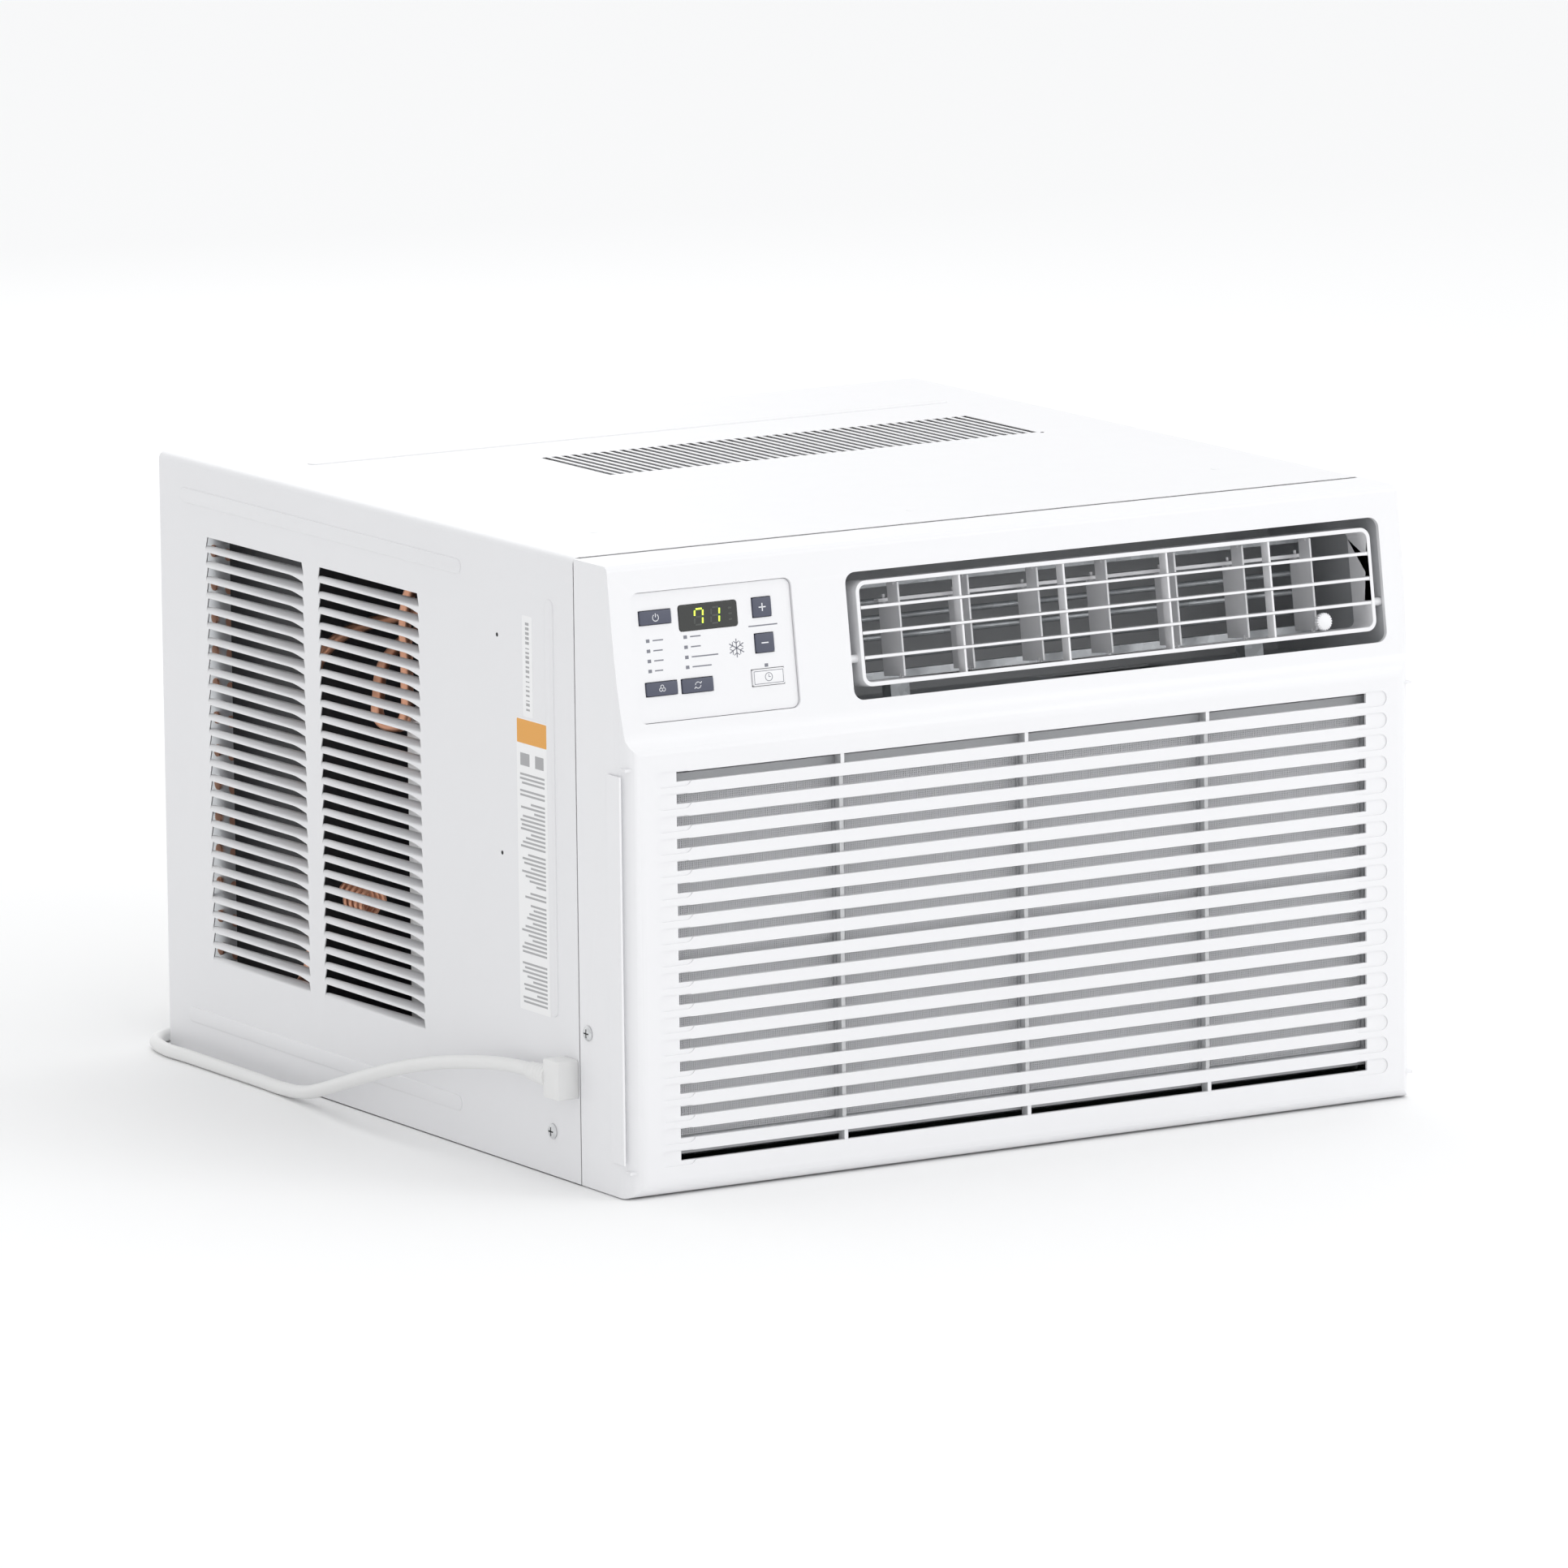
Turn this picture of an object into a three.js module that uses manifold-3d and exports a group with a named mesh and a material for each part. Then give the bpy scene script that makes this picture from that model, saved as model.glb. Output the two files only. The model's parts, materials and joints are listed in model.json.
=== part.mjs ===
// Window air conditioner, heat and cool, 26 inches wide, with a slide-out air filter.
// Millimetres, +Z up, the room side faces -Y, and the origin is at the bottom centre of the box
// that holds the machine without its mains lead.
import * as THREE from "three";
import { mergeVertices } from "three/addons/utils/BufferGeometryUtils.js";
import Module from "manifold-3d";

const wasm = await Module();
wasm.setup();

// ---------------------------------------------------------------- driving dimensions
const WIDTH = 660;
const HEIGHT = 449;
const CABINET_DEPTH = 614;
const PANEL_DEPTH = 69; // how far the room-side panel stands out from the cabinet
const HALF_W = WIDTH / 2;
const GAP = 0.3; // between pieces that touch
const SHEET = 1.2; // pressed steel
const PANEL_WALL = 3; // moulded plastic
const SKIRT_Z = 1; // lower edge of the cabinet and of the panel
const RAIL_HEIGHT = 4.5; // stamped rails that the base pan stands on
const SCREW_HEAD_HEIGHT = 2.2;
const SCREW_HEAD_RADIUS = 5.6;
const SCREW_SHANK_RADIUS = 2;
const SCREW_CLEARANCE = 0.4;
const PANEL_SCREW = [-12, 112]; // distance behind the seam, height
const CABINET_SCREW = [40, 33];
const BORE_SIDES = 12;

// side louvres, two columns on each side of the cabinet
const LOUVRE_PITCH = 11.4;
const LOUVRE_SLOT = 5.4;
const LOUVRE_LOWEST_Z = 75;
const LOUVRE_TOP_MARGIN = 54;
const LOUVRE_COUNT = Math.floor((HEIGHT - LOUVRE_TOP_MARGIN - LOUVRE_LOWEST_Z) / LOUVRE_PITCH);
const LOUVRE_COLUMNS = [
  [391.5, 241],
  [220.2, 70],
]; // distance in front of the cabinet's back

// top vent
const VENT_COUNT = 45;
const VENT_PITCH = 8.24;
const VENT_SLOT = 5;
const VENT_CENTRE_X = 70;
const VENT_NEAR = 321;
const VENT_LENGTH = 102;

// wire guard over the outdoor coil
const GUARD_UPRIGHTS = 11; // bays between upright wires
const GUARD_RAILS = 3; // bays between cross wires

// room-side panel
const KNEE_Z = HEIGHT - 131; // where the upright face ends
const SLOPE_FOOT_Z = HEIGHT - 116; // where the sloping face begins
const SLOPE_FOOT_SET_BACK = 7;
const SLOPE_TOP_SET_BACK = 23;
const SLOPE_TOP_Z = HEIGHT - 3;
const PANEL_CORNER = 16;
const PANEL_BOTTOM_ROUND = 12;
const SLOT_PITCH = 15.9;
const SLOT_HEIGHT = 7;
const SLOT_LOWEST_Z = 29;
const SLOT_TOP_MARGIN = 16; // from the highest slot to the knee, at least
const SLOT_COUNT = 1 + Math.floor((KNEE_Z - SLOT_TOP_MARGIN - SLOT_LOWEST_Z) / SLOT_PITCH);
const SLOT_SIDE_MARGIN = 41.5;
const SLOT_HALF_WIDTH = HALF_W - SLOT_SIDE_MARGIN;
const RIB_X = [-1, 0, 1].map((i) => i * (SLOT_HALF_WIDTH - 135.7));
const RIB_WIDTH = 3;
const RIB_DEPTH = 6;

// air outlet, in the sloping face: x, and height up the slope
const OUTLET_SIDE_MARGIN = 18;
const OUTLET_WIDTH = WIDTH - 210; // leaves room for the controls
const OUTLET_X = HALF_W - OUTLET_SIDE_MARGIN - OUTLET_WIDTH / 2;
const OUTLET_LOW = 4.7;
const OUTLET_HEIGHT = 90.6;
const OUTLET_CORNER = 8;
const DUCT_DEPTH = 150;
const DUCT_WALL = 2;
const DUCT_CLEARANCE = 0.4; // from the outlet's edge to the duct's inside
const DUCT_HEIGHT = 99;

// swing louvre in the outlet
const SWING_WIDTH = OUTLET_WIDTH - 16;
const SWING_LOW = 13.5;
const SWING_HEIGHT = 75;
const SWING_DEPTH = 26;
const SWING_BAR = 3;
const SWING_CORNER = 8;
const SWING_GRID_DEPTH = 10;
const SWING_ROWS = [34, 51.5, 69.5];
const SWING_COLUMN_PITCH = (SWING_WIDTH + 1) / 5;
const SWING_PIVOT_DEPTH = 7;
const SWING_PIVOT_UP = 34;
const SWING_PIN_RADIUS = 3;

// upright vanes behind the swing louvre
const VANE_COUNT = 7;
const VANE_PITCH = (SWING_WIDTH - 28) / VANE_COUNT;
const VANE_PIVOT_DEPTH = 19;
const VANE_FRONT = 13.5;
const VANE_BACK = 41.5;
const VANE_SHOULDER_UP = 70;
const VANE_SHOULDER_DEPTH = 28;
const VANE_THICKNESS = 1.6;
const VANE_PIN_RADIUS = 1.5;
const LINK_DEPTH = 35;
const LINK_PEG_RADIUS = 1.2;
const KNOB_RADIUS = 6.5;
const KNOB_UP = 23.8;

// control panel, in the sloping face
const CONTROL_LEFT = -HALF_W + 17;
const CONTROL_WIDTH = 131;
const CONTROL_LOW = 4.5;
const CONTROL_HEIGHT = 92;
const CONTROL_CORNER = 6;
const FASCIA_SET_BACK = 2.2;
const FASCIA_THICKNESS = 3;
const BUTTON_PROUD = 1.1;
const BUTTON_CLEARANCE = 0.4;
// name: left (from the panel's own left edge), low, width, height
const BUTTONS = {
  power_button: [7, 73.5, 25.6, 9.6],
  warmer_button: [99, 70.8, 15, 13.6],
  cooler_button: [99, 45.8, 15, 13.3],
  fan_button: [8, 23.5, 25.2, 9.4],
  mode_button: [37, 23.1, 25.2, 9.7],
  timer_button: [94.2, 22.6, 26.2, 11.5],
};
const DISPLAY = [39, 66.5, 47.3, 18];

// air filter, which slides out of the left side of the panel
const FILTER_SET_BACK = 14.5; // from the panel's front face to the middle of the filter
const FILTER_THICKNESS = 8;
const FILTER_LOW = 28;
const FILTER_HIGH = KNEE_Z - 18;
const FILTER_RIGHT_GAP = 26;
const FILTER_BORDER = 12;
const FILTER_PULL_WIDTH = 17.5;
const FILTER_PULL_OVERLAP = 2.5;

// indoor coil, blower and duct; distances are behind the seam
const EVAPORATOR_FRONT = 31 - PANEL_DEPTH;
const EVAPORATOR_DEPTH = 44;
const EVAPORATOR_LOW = 22;
const EVAPORATOR_HIGH = KNEE_Z - 12;
const SCROLL_FRONT = EVAPORATOR_FRONT + EVAPORATOR_DEPTH + 20;
const SCROLL_DEPTH = 126;
const SCROLL_WALL = 12;
const SCROLL_LOW = 56;
const SCROLL_RADIUS = (KNEE_Z - SCROLL_LOW - 32) / 2;
const SHAFT_X = HALF_W - 243;
const SHAFT_Z = SCROLL_LOW + 14 + SCROLL_RADIUS;
const SHAFT_RADIUS = 6;
const BLOWER_RADIUS = SCROLL_RADIUS - 10;
const BLOWER_WIDTH = 88;
const BLOWER_BLADES = 24;
const BULKHEAD_BACK = SCROLL_FRONT + SCROLL_DEPTH + 8;

// outdoor coil, its fan and shroud, and the motor between the two halves
const CONDENSER_DEPTH = 42;
const CONDENSER_FRONT = CABINET_DEPTH - CONDENSER_DEPTH - 14;
const CONDENSER_LOW = 12;
const SHROUD_BACK = CONDENSER_FRONT - 3;
const SHROUD_DEPTH = 115;
const SHROUD_FRONT = SHROUD_BACK - SHROUD_DEPTH;
const SHROUD_HALF_WIDTH = HALF_W - 26;
const FAN_FRONT = SHROUD_FRONT + 16;
const FAN_LENGTH = 34;
const FAN_RADIUS = SHAFT_Z - 27;
const FAN_BLADES = 5;
const MOTOR_RADIUS = 58;
const MOTOR_FRONT = BULKHEAD_BACK + 22;
const MOTOR_LENGTH = 80;

// refrigerant circuit
const COMPRESSOR_RADIUS = 72;
const COMPRESSOR_LUG_REACH = 14;
const BLANKET_THICKNESS = 16;
const COMPRESSOR_X = -HALF_W + 53 + COMPRESSOR_RADIUS;
const COMPRESSOR_BACK = Math.max(
  SHROUD_FRONT - 155,
  BULKHEAD_BACK + 3 + COMPRESSOR_RADIUS + COMPRESSOR_LUG_REACH,
);
const COMPRESSOR_LOW = 28;
const COMPRESSOR_HIGH = HEIGHT - 149;
const PIPE_RADIUS = 4.8;
const PIPE_IN = 34; // from the cabinet's left side to the suction pipe
const PIPE_TOP = HEIGHT - 49; // height of the suction pipe where it crosses the bulkhead
const CAPILLARY_RADIUS = 2;
const CAPILLARY_LOOP = 10.5;
const CAPILLARY_PITCH = 8;
const CAPILLARY_TURNS = 4.5;

// mains lead
const CORD_RADIUS = 5;
const CORD_FLOOR_Z = CORD_RADIUS + 0.2; // centre of the cord where it lies on the floor
const COIL_X = -HALF_W + 155;
const COIL_RADIUS = 12 * CORD_RADIUS; // to the middle of the cord
const COIL_BEHIND = COIL_RADIUS + 24; // from the cabinet's back to the coil's centre
const COIL_TURNS = 3;
const COIL_PITCH = 2 * CORD_RADIUS + 0.6;
// from the coil's centre to where the straight cord meets it
const COIL_END_X = 1 + Math.ceil(2 * Math.sqrt(COIL_RADIUS * CORD_RADIUS));
const TAIL_LENGTH = 84;
const PLUG_Z = 13.8;

// worked-out places
const FRONT_Y = -(CABINET_DEPTH + PANEL_DEPTH) / 2;
const SEAM_Y = FRONT_Y + PANEL_DEPTH;
const BACK_Y = SEAM_Y + CABINET_DEPTH;
const PAN_Z = RAIL_HEIGHT + SHEET; // top of the base pan's floor
const SLOPE_RUN = SLOPE_TOP_SET_BACK - SLOPE_FOOT_SET_BACK;
const SLOPE_TILT = Math.atan2(SLOPE_RUN, SLOPE_TOP_Z - SLOPE_FOOT_Z);
const SEGMENTS = 24;

// ---------------------------------------------------------------- materials
const paint = (color, roughness, metalness = 0) =>
  new THREE.MeshStandardMaterial({ color, roughness, metalness });
const WHITE_PLASTIC = paint(0xeeeef0, 0.42);
const WHITE_STEEL = paint(0xe9e9ec, 0.45, 0.1);
const GALVANISED = paint(0xb4b8bb, 0.4, 0.8);
const GREY_PLASTIC = paint(0x8d8f92, 0.6);
const SLATE = paint(0x474b5c, 0.55);
const BLACK_PLASTIC = paint(0x1d1e20, 0.55);
const SMOKED_GLASS = paint(0x2b2c2b, 0.15);
const FOAM = paint(0xe2e2de, 0.9);
const COPPER = paint(0xb87352, 0.35, 0.9);
const ALUMINIUM = paint(0xc6c9cc, 0.4, 0.9);
const BLACK_STEEL = paint(0x202224, 0.4, 0.3);
const RUBBER = paint(0x2a2a2a, 0.85);
const FELT = paint(0xbfc0c2, 0.95);
const FILTER_NET = paint(0x8f9194, 0.85);
const BOARD = paint(0x2e6b3c, 0.5);
const BRIGHT_STEEL = paint(0xc9cbce, 0.3, 0.9);
const WHITE_CORD = paint(0xececec, 0.5);
const BRASS = paint(0xc9a24a, 0.3, 0.9);

// ---------------------------------------------------------------- helpers
const unit = new THREE.Group();
const slope = new THREE.Group(); // x, depth into the machine, height up the sloping face
slope.position.set(0, FRONT_Y + SLOPE_FOOT_SET_BACK, SLOPE_FOOT_Z);
slope.rotation.x = -SLOPE_TILT;
unit.add(slope);

function solid(geometry) {
  const bare = geometry.index ? geometry.toNonIndexed() : geometry.clone();
  bare.deleteAttribute("normal");
  bare.deleteAttribute("uv");
  const merged = mergeVertices(bare, 1e-4);
  return new wasm.Manifold(
    new wasm.Mesh({
      numProp: 3,
      vertProperties: merged.attributes.position.array,
      triVerts: new Uint32Array(merged.index.array),
    }),
  );
}

function geometryOf(shape) {
  const mesh = shape.getMesh();
  return new THREE.BufferGeometry()
    .setAttribute("position", new THREE.BufferAttribute(new Float32Array(mesh.vertProperties), 3))
    .setIndex(new THREE.BufferAttribute(new Uint32Array(mesh.triVerts), 1));
}

function add(name, shape, material, parent = unit) {
  const mesh = new THREE.Mesh(geometryOf(shape), material);
  mesh.name = name;
  parent.add(mesh);
  return mesh;
}

const join = (first, ...rest) => rest.reduce((whole, part) => whole.add(part), first);
const cut = (first, ...rest) => rest.reduce((whole, part) => whole.subtract(part), first);

function box(x0, x1, y0, y1, z0, z1) {
  const geometry = new THREE.BoxGeometry(x1 - x0, y1 - y0, z1 - z0);
  geometry.translate((x0 + x1) / 2, (y0 + y1) / 2, (z0 + z1) / 2);
  return solid(geometry);
}

// a cylinder with its axis along x, y or z, from one value to another
function rod(axis, radius, from, to, a, b, segments = SEGMENTS) {
  const geometry = new THREE.CylinderGeometry(radius, radius, to - from, segments);
  const middle = (from + to) / 2;
  if (axis === "x") {
    geometry.rotateZ(Math.PI / 2);
    geometry.translate(middle, a, b);
  } else if (axis === "y") {
    geometry.translate(a, middle, b);
  } else {
    geometry.rotateX(Math.PI / 2);
    geometry.translate(a, b, middle);
  }
  return solid(geometry);
}

// clearance for a screw's shank through a side wall
const screwHole = (from, to, [behind, z]) =>
  rod("x", SCREW_SHANK_RADIUS + SCREW_CLEARANCE, from, to, SEAM_Y + behind, z, BORE_SIDES);

// a flat outline, pushed along x (outline in y, z), y (outline in x, z) or z (outline in x, y)
function prism(axis, outline, from, to, arcSteps = 6) {
  const geometry = new THREE.ExtrudeGeometry(outline, {
    depth: to - from,
    bevelEnabled: false,
    curveSegments: arcSteps,
  });
  geometry.translate(0, 0, from);
  const turn = {
    x: [0, 0, 1, 0, 1, 0, 0, 0, 0, 1, 0, 0],
    y: [1, 0, 0, 0, 0, 0, -1, 0, 0, 1, 0, 0],
    z: [1, 0, 0, 0, 0, 1, 0, 0, 0, 0, 1, 0],
  }[axis];
  if (axis === "y") geometry.translate(0, 0, -from - to);
  geometry.applyMatrix4(new THREE.Matrix4().set(...turn, 0, 0, 0, 1));
  return solid(geometry);
}

function roundedOutline(left, low, width, height, radius) {
  const right = left + width;
  const high = low + height;
  const shape = new THREE.Shape();
  shape.moveTo(left + radius, low);
  shape.lineTo(right - radius, low);
  shape.absarc(right - radius, low + radius, radius, -Math.PI / 2, 0);
  shape.lineTo(right, high - radius);
  shape.absarc(right - radius, high - radius, radius, 0, Math.PI / 2);
  shape.lineTo(left + radius, high);
  shape.absarc(left + radius, high - radius, radius, Math.PI / 2, Math.PI);
  shape.lineTo(left, low + radius);
  shape.absarc(left + radius, low + radius, radius, Math.PI, 1.5 * Math.PI);
  return shape;
}

function tube(points, radius, steps, sides, tension = 0.5) {
  const path = new THREE.CatmullRomCurve3(
    points.map((p) => new THREE.Vector3(...p)),
    false,
    "catmullrom",
    tension,
  );
  const ring = new THREE.Shape();
  for (let i = 0; i < sides; i++) {
    const angle = (2 * Math.PI * i) / sides;
    const [u, v] = [radius * Math.cos(angle), radius * Math.sin(angle)];
    if (i === 0) ring.moveTo(u, v);
    else ring.lineTo(u, v);
  }
  return solid(new THREE.ExtrudeGeometry(ring, { steps, bevelEnabled: false, extrudePath: path }));
}

// a turned shape about an upright axis, from its profile of [radius, z]
function turned(profile, x, y, segments = SEGMENTS) {
  const points = profile.map(([r, z]) => new THREE.Vector2(r, z));
  const geometry = new THREE.LatheGeometry(points, segments);
  geometry.rotateX(Math.PI / 2);
  geometry.scale(1, -1, 1);
  geometry.index.array.reverse();
  geometry.translate(x, y, 0);
  return solid(geometry);
}

// ---------------------------------------------------------------- cabinet
function cabinet() {
  const inner = HALF_W - SHEET;
  const wrap = cut(
    box(-HALF_W, HALF_W, SEAM_Y + GAP, BACK_Y, SKIRT_Z, HEIGHT),
    box(-inner, inner, SEAM_Y - 1, BACK_Y + 1, 0, HEIGHT - SHEET),
  );
  const flange = cut(
    box(-inner - 0.1, inner + 0.1, BACK_Y - SHEET, BACK_Y, SKIRT_Z + 5, HEIGHT - 0.1),
    box(-inner + 10, inner - 10, BACK_Y - 3, BACK_Y + 1, 0, HEIGHT - 12),
  );
  let made = join(wrap, flange);
  for (const side of [-1, 1]) {
    const [x0, x1] = [side * (HALF_W + 1), side * (HALF_W - SHEET - 1)];
    for (const [near, far] of LOUVRE_COLUMNS) {
      for (let i = 0; i < LOUVRE_COUNT; i++) {
        const high = LOUVRE_LOWEST_Z + (i + 1) * LOUVRE_PITCH;
        made = made.subtract(
          box(Math.min(x0, x1), Math.max(x0, x1), BACK_Y - near, BACK_Y - far,
            high - LOUVRE_SLOT, high),
        );
      }
    }
  }
  for (let i = 0; i < VENT_COUNT; i++) {
    const x = VENT_CENTRE_X + (i - (VENT_COUNT - 1) / 2) * VENT_PITCH;
    const near = SEAM_Y + VENT_NEAR;
    made = made.subtract(
      box(x - VENT_SLOT / 2, x + VENT_SLOT / 2, near, near + VENT_LENGTH, HEIGHT - 3, HEIGHT + 1),
    );
  }
  made = cut(
    made,
    box(-HALF_W - 1, -inner + 1, SEAM_Y + 4, SEAM_Y + 26, 65, 89),
    screwHole(-HALF_W - 1, -inner + 1, CABINET_SCREW),
    screwHole(inner - 1, HALF_W + 1, CABINET_SCREW),
  );
  add("cabinet_wrap", made, WHITE_STEEL);
}

function basePan() {
  const x = HALF_W - 4.5;
  const [front, back] = [FRONT_Y + 11, BACK_Y - 1.6];
  const high = PAN_Z + 22;
  const pan = cut(
    box(-x, x, front, back, RAIL_HEIGHT, high),
    box(-x + SHEET, x - SHEET, front + SHEET, back - SHEET, PAN_Z, high + 1),
    // the room side is lower, under the coil and the filter
    box(-x - 1, x + 1, front - 1, SEAM_Y + 2, PAN_Z + 8, high + 1),
    // drain notch in the back wall
    box(150, 170, back - 3, back + 1, PAN_Z + 2, high + 1),
  );
  const rails = [70, CABINET_DEPTH - 90].map((y) =>
    box(-x + 20, x - 20, SEAM_Y + y, SEAM_Y + y + 24, 0, PAN_Z - 0.2),
  );
  // upright tabs that the cabinet's screws go into
  const tabY = SEAM_Y + CABINET_SCREW[0];
  const tabs = [-x, x - SHEET].map((edge) =>
    box(edge, edge + SHEET, tabY - 12, tabY + 12, PAN_Z, CABINET_SCREW[1] + 12),
  );
  add("base_pan", cut(
    join(pan, ...rails, ...tabs),
    screwHole(-x - 1, -x + 3, CABINET_SCREW),
    screwHole(x - 3, x + 1, CABINET_SCREW),
  ), GALVANISED);
}

function rearGuard() {
  const x = HALF_W - 3.5;
  const [front, back] = [BACK_Y - 9, BACK_Y - SHEET - 0.4];
  const [low, high] = [PAN_Z + 1, HEIGHT - SHEET - 2];
  const border = 20;
  let guard = cut(
    box(-x, x, front, back, low + 22, high),
    box(-x + border, x - border, front - 1, back + 1, low + 22 + border, high - border),
  );
  const bar = 2.4;
  for (let i = 1; i < GUARD_UPRIGHTS; i++) {
    const centre = -x + border + ((2 * x - 2 * border) * i) / GUARD_UPRIGHTS;
    guard = guard.add(
      box(centre - bar / 2, centre + bar / 2, front + 1, front + 1 + bar, low + 40, high - border + 1),
    );
  }
  for (let i = 1; i < GUARD_RAILS; i++) {
    const centre = low + 22 + border + ((high - low - 22 - 2 * border) * i) / GUARD_RAILS;
    guard = guard.add(
      box(-x + border - 1, x - border + 1, front + 3, front + 3 + bar, centre - 1.2, centre + 1.2),
    );
  }
  add("rear_guard", guard, WHITE_STEEL);
}

// ---------------------------------------------------------------- room-side panel
function panelProfile(inset, back) {
  // outline in y, z, moved inwards by inset
  const [face, foot, top] = [0, SLOPE_FOOT_SET_BACK, SLOPE_TOP_SET_BACK].map(
    (set) => FRONT_Y + set + inset,
  );
  const [low, high] = [SKIRT_Z + inset, HEIGHT - 0.6 - inset];
  const bottom = Math.max(PANEL_BOTTOM_ROUND - inset, 2);
  const crown = Math.max(5 - inset, 1);
  const profile = new THREE.Shape();
  profile.moveTo(back, low);
  profile.lineTo(face + bottom, low);
  profile.absarc(face + bottom, low + bottom, bottom, 1.5 * Math.PI, Math.PI, true);
  profile.lineTo(face, KNEE_Z - 6 - inset);
  profile.bezierCurveTo(
    face, KNEE_Z + 3 - inset,
    foot - 0.5, KNEE_Z + 4 - inset,
    foot, SLOPE_FOOT_Z - inset,
  );
  const lean = Math.PI - SLOPE_TILT;
  const centreZ = high - crown;
  const reach = (SLOPE_FOOT_Z - inset - centreZ) * Math.tan(SLOPE_TILT);
  const centreY = foot - reach + crown / Math.cos(SLOPE_TILT);
  profile.absarc(centreY, centreZ, crown, lean, Math.PI / 2, true);
  profile.lineTo(back, high);
  return profile;
}

function panelPlan(inset, back) {
  const r = PANEL_CORNER - inset;
  const [x, front] = [HALF_W - inset, FRONT_Y + inset];
  const plan = new THREE.Shape();
  plan.moveTo(-x, back);
  plan.lineTo(-x, front + r);
  plan.absarc(-x + r, front + r, r, Math.PI, 1.5 * Math.PI);
  plan.lineTo(x - r, front);
  plan.absarc(x - r, front + r, r, 1.5 * Math.PI, 2 * Math.PI);
  plan.lineTo(x, back);
  return plan;
}

const intoPanel = (shape) =>
  // from the slope's own frame into the machine's
  solid(geometryOf(shape).applyMatrix4(slope.matrix));

function frontPanel() {
  slope.updateMatrix();
  const outer = prism("x", panelProfile(0, SEAM_Y), -HALF_W, HALF_W, 5).intersect(
    prism("z", panelPlan(0, SEAM_Y), 0, HEIGHT, 6),
  );
  const hollow = prism(
    "x", panelProfile(PANEL_WALL, SEAM_Y + 1), -HALF_W + PANEL_WALL, HALF_W - PANEL_WALL, 5,
  ).intersect(prism("z", panelPlan(PANEL_WALL, SEAM_Y + 2), 0, HEIGHT, 6));
  let made = cut(outer, hollow);
  for (let i = 0; i < SLOT_COUNT; i++) {
    const z = SLOT_LOWEST_Z + i * SLOT_PITCH;
    made = made.subtract(
      box(-SLOT_HALF_WIDTH, SLOT_HALF_WIDTH, FRONT_Y - 1, FRONT_Y + PANEL_WALL + 1,
        z - SLOT_HEIGHT / 2, z + SLOT_HEIGHT / 2),
    );
  }
  const slotTop = SLOT_LOWEST_Z + (SLOT_COUNT - 1) * SLOT_PITCH;
  const behind = FRONT_Y + PANEL_WALL;
  for (const x of RIB_X) {
    const [x0, x1] = [x - RIB_WIDTH / 2, x + RIB_WIDTH / 2];
    made = join(
      made,
      box(x0, x1, behind + 0.4, behind + RIB_DEPTH, SLOT_LOWEST_Z - 8, slotTop + 8),
      box(x0, x1, FRONT_Y + 1, behind + 0.6, SLOT_LOWEST_Z - 7.9, SLOT_LOWEST_Z + 4),
      box(x0, x1, FRONT_Y + 1, behind + 0.6, slotTop - 4, slotTop + 7.9),
    );
  }
  const filterY = FRONT_Y + FILTER_SET_BACK;
  const half = FILTER_THICKNESS / 2 + 0.8;
  made = cut(
    made,
    box(-HALF_W - 1, -HALF_W + 20, filterY - half, filterY + half, FILTER_LOW - 1, FILTER_HIGH + 1),
    screwHole(-HALF_W - 1, -HALF_W + 5, PANEL_SCREW),
    screwHole(HALF_W - 5, HALF_W + 1, PANEL_SCREW),
    intoPanel(
      prism("y", roundedOutline(OUTLET_X - OUTLET_WIDTH / 2, OUTLET_LOW, OUTLET_WIDTH,
        OUTLET_HEIGHT, OUTLET_CORNER), -8, 8, 4),
    ),
    intoPanel(
      prism("y", roundedOutline(CONTROL_LEFT, CONTROL_LOW, CONTROL_WIDTH, CONTROL_HEIGHT,
        CONTROL_CORNER), -8, 8, 4),
    ),
  );
  // ledges that the filter runs on and under
  const ledge = [filterY - half, filterY + half + 3];
  made = join(
    made,
    box(-HALF_W + 1, HALF_W - 1, behind - 0.5, ledge[1], FILTER_LOW - 9, FILTER_LOW - 7),
    box(-HALF_W + 1, HALF_W - 1, behind - 0.5, ledge[1], FILTER_HIGH + 6, FILTER_HIGH + 8),
  );
  add("front_panel", made, WHITE_PLASTIC);
}

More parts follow.
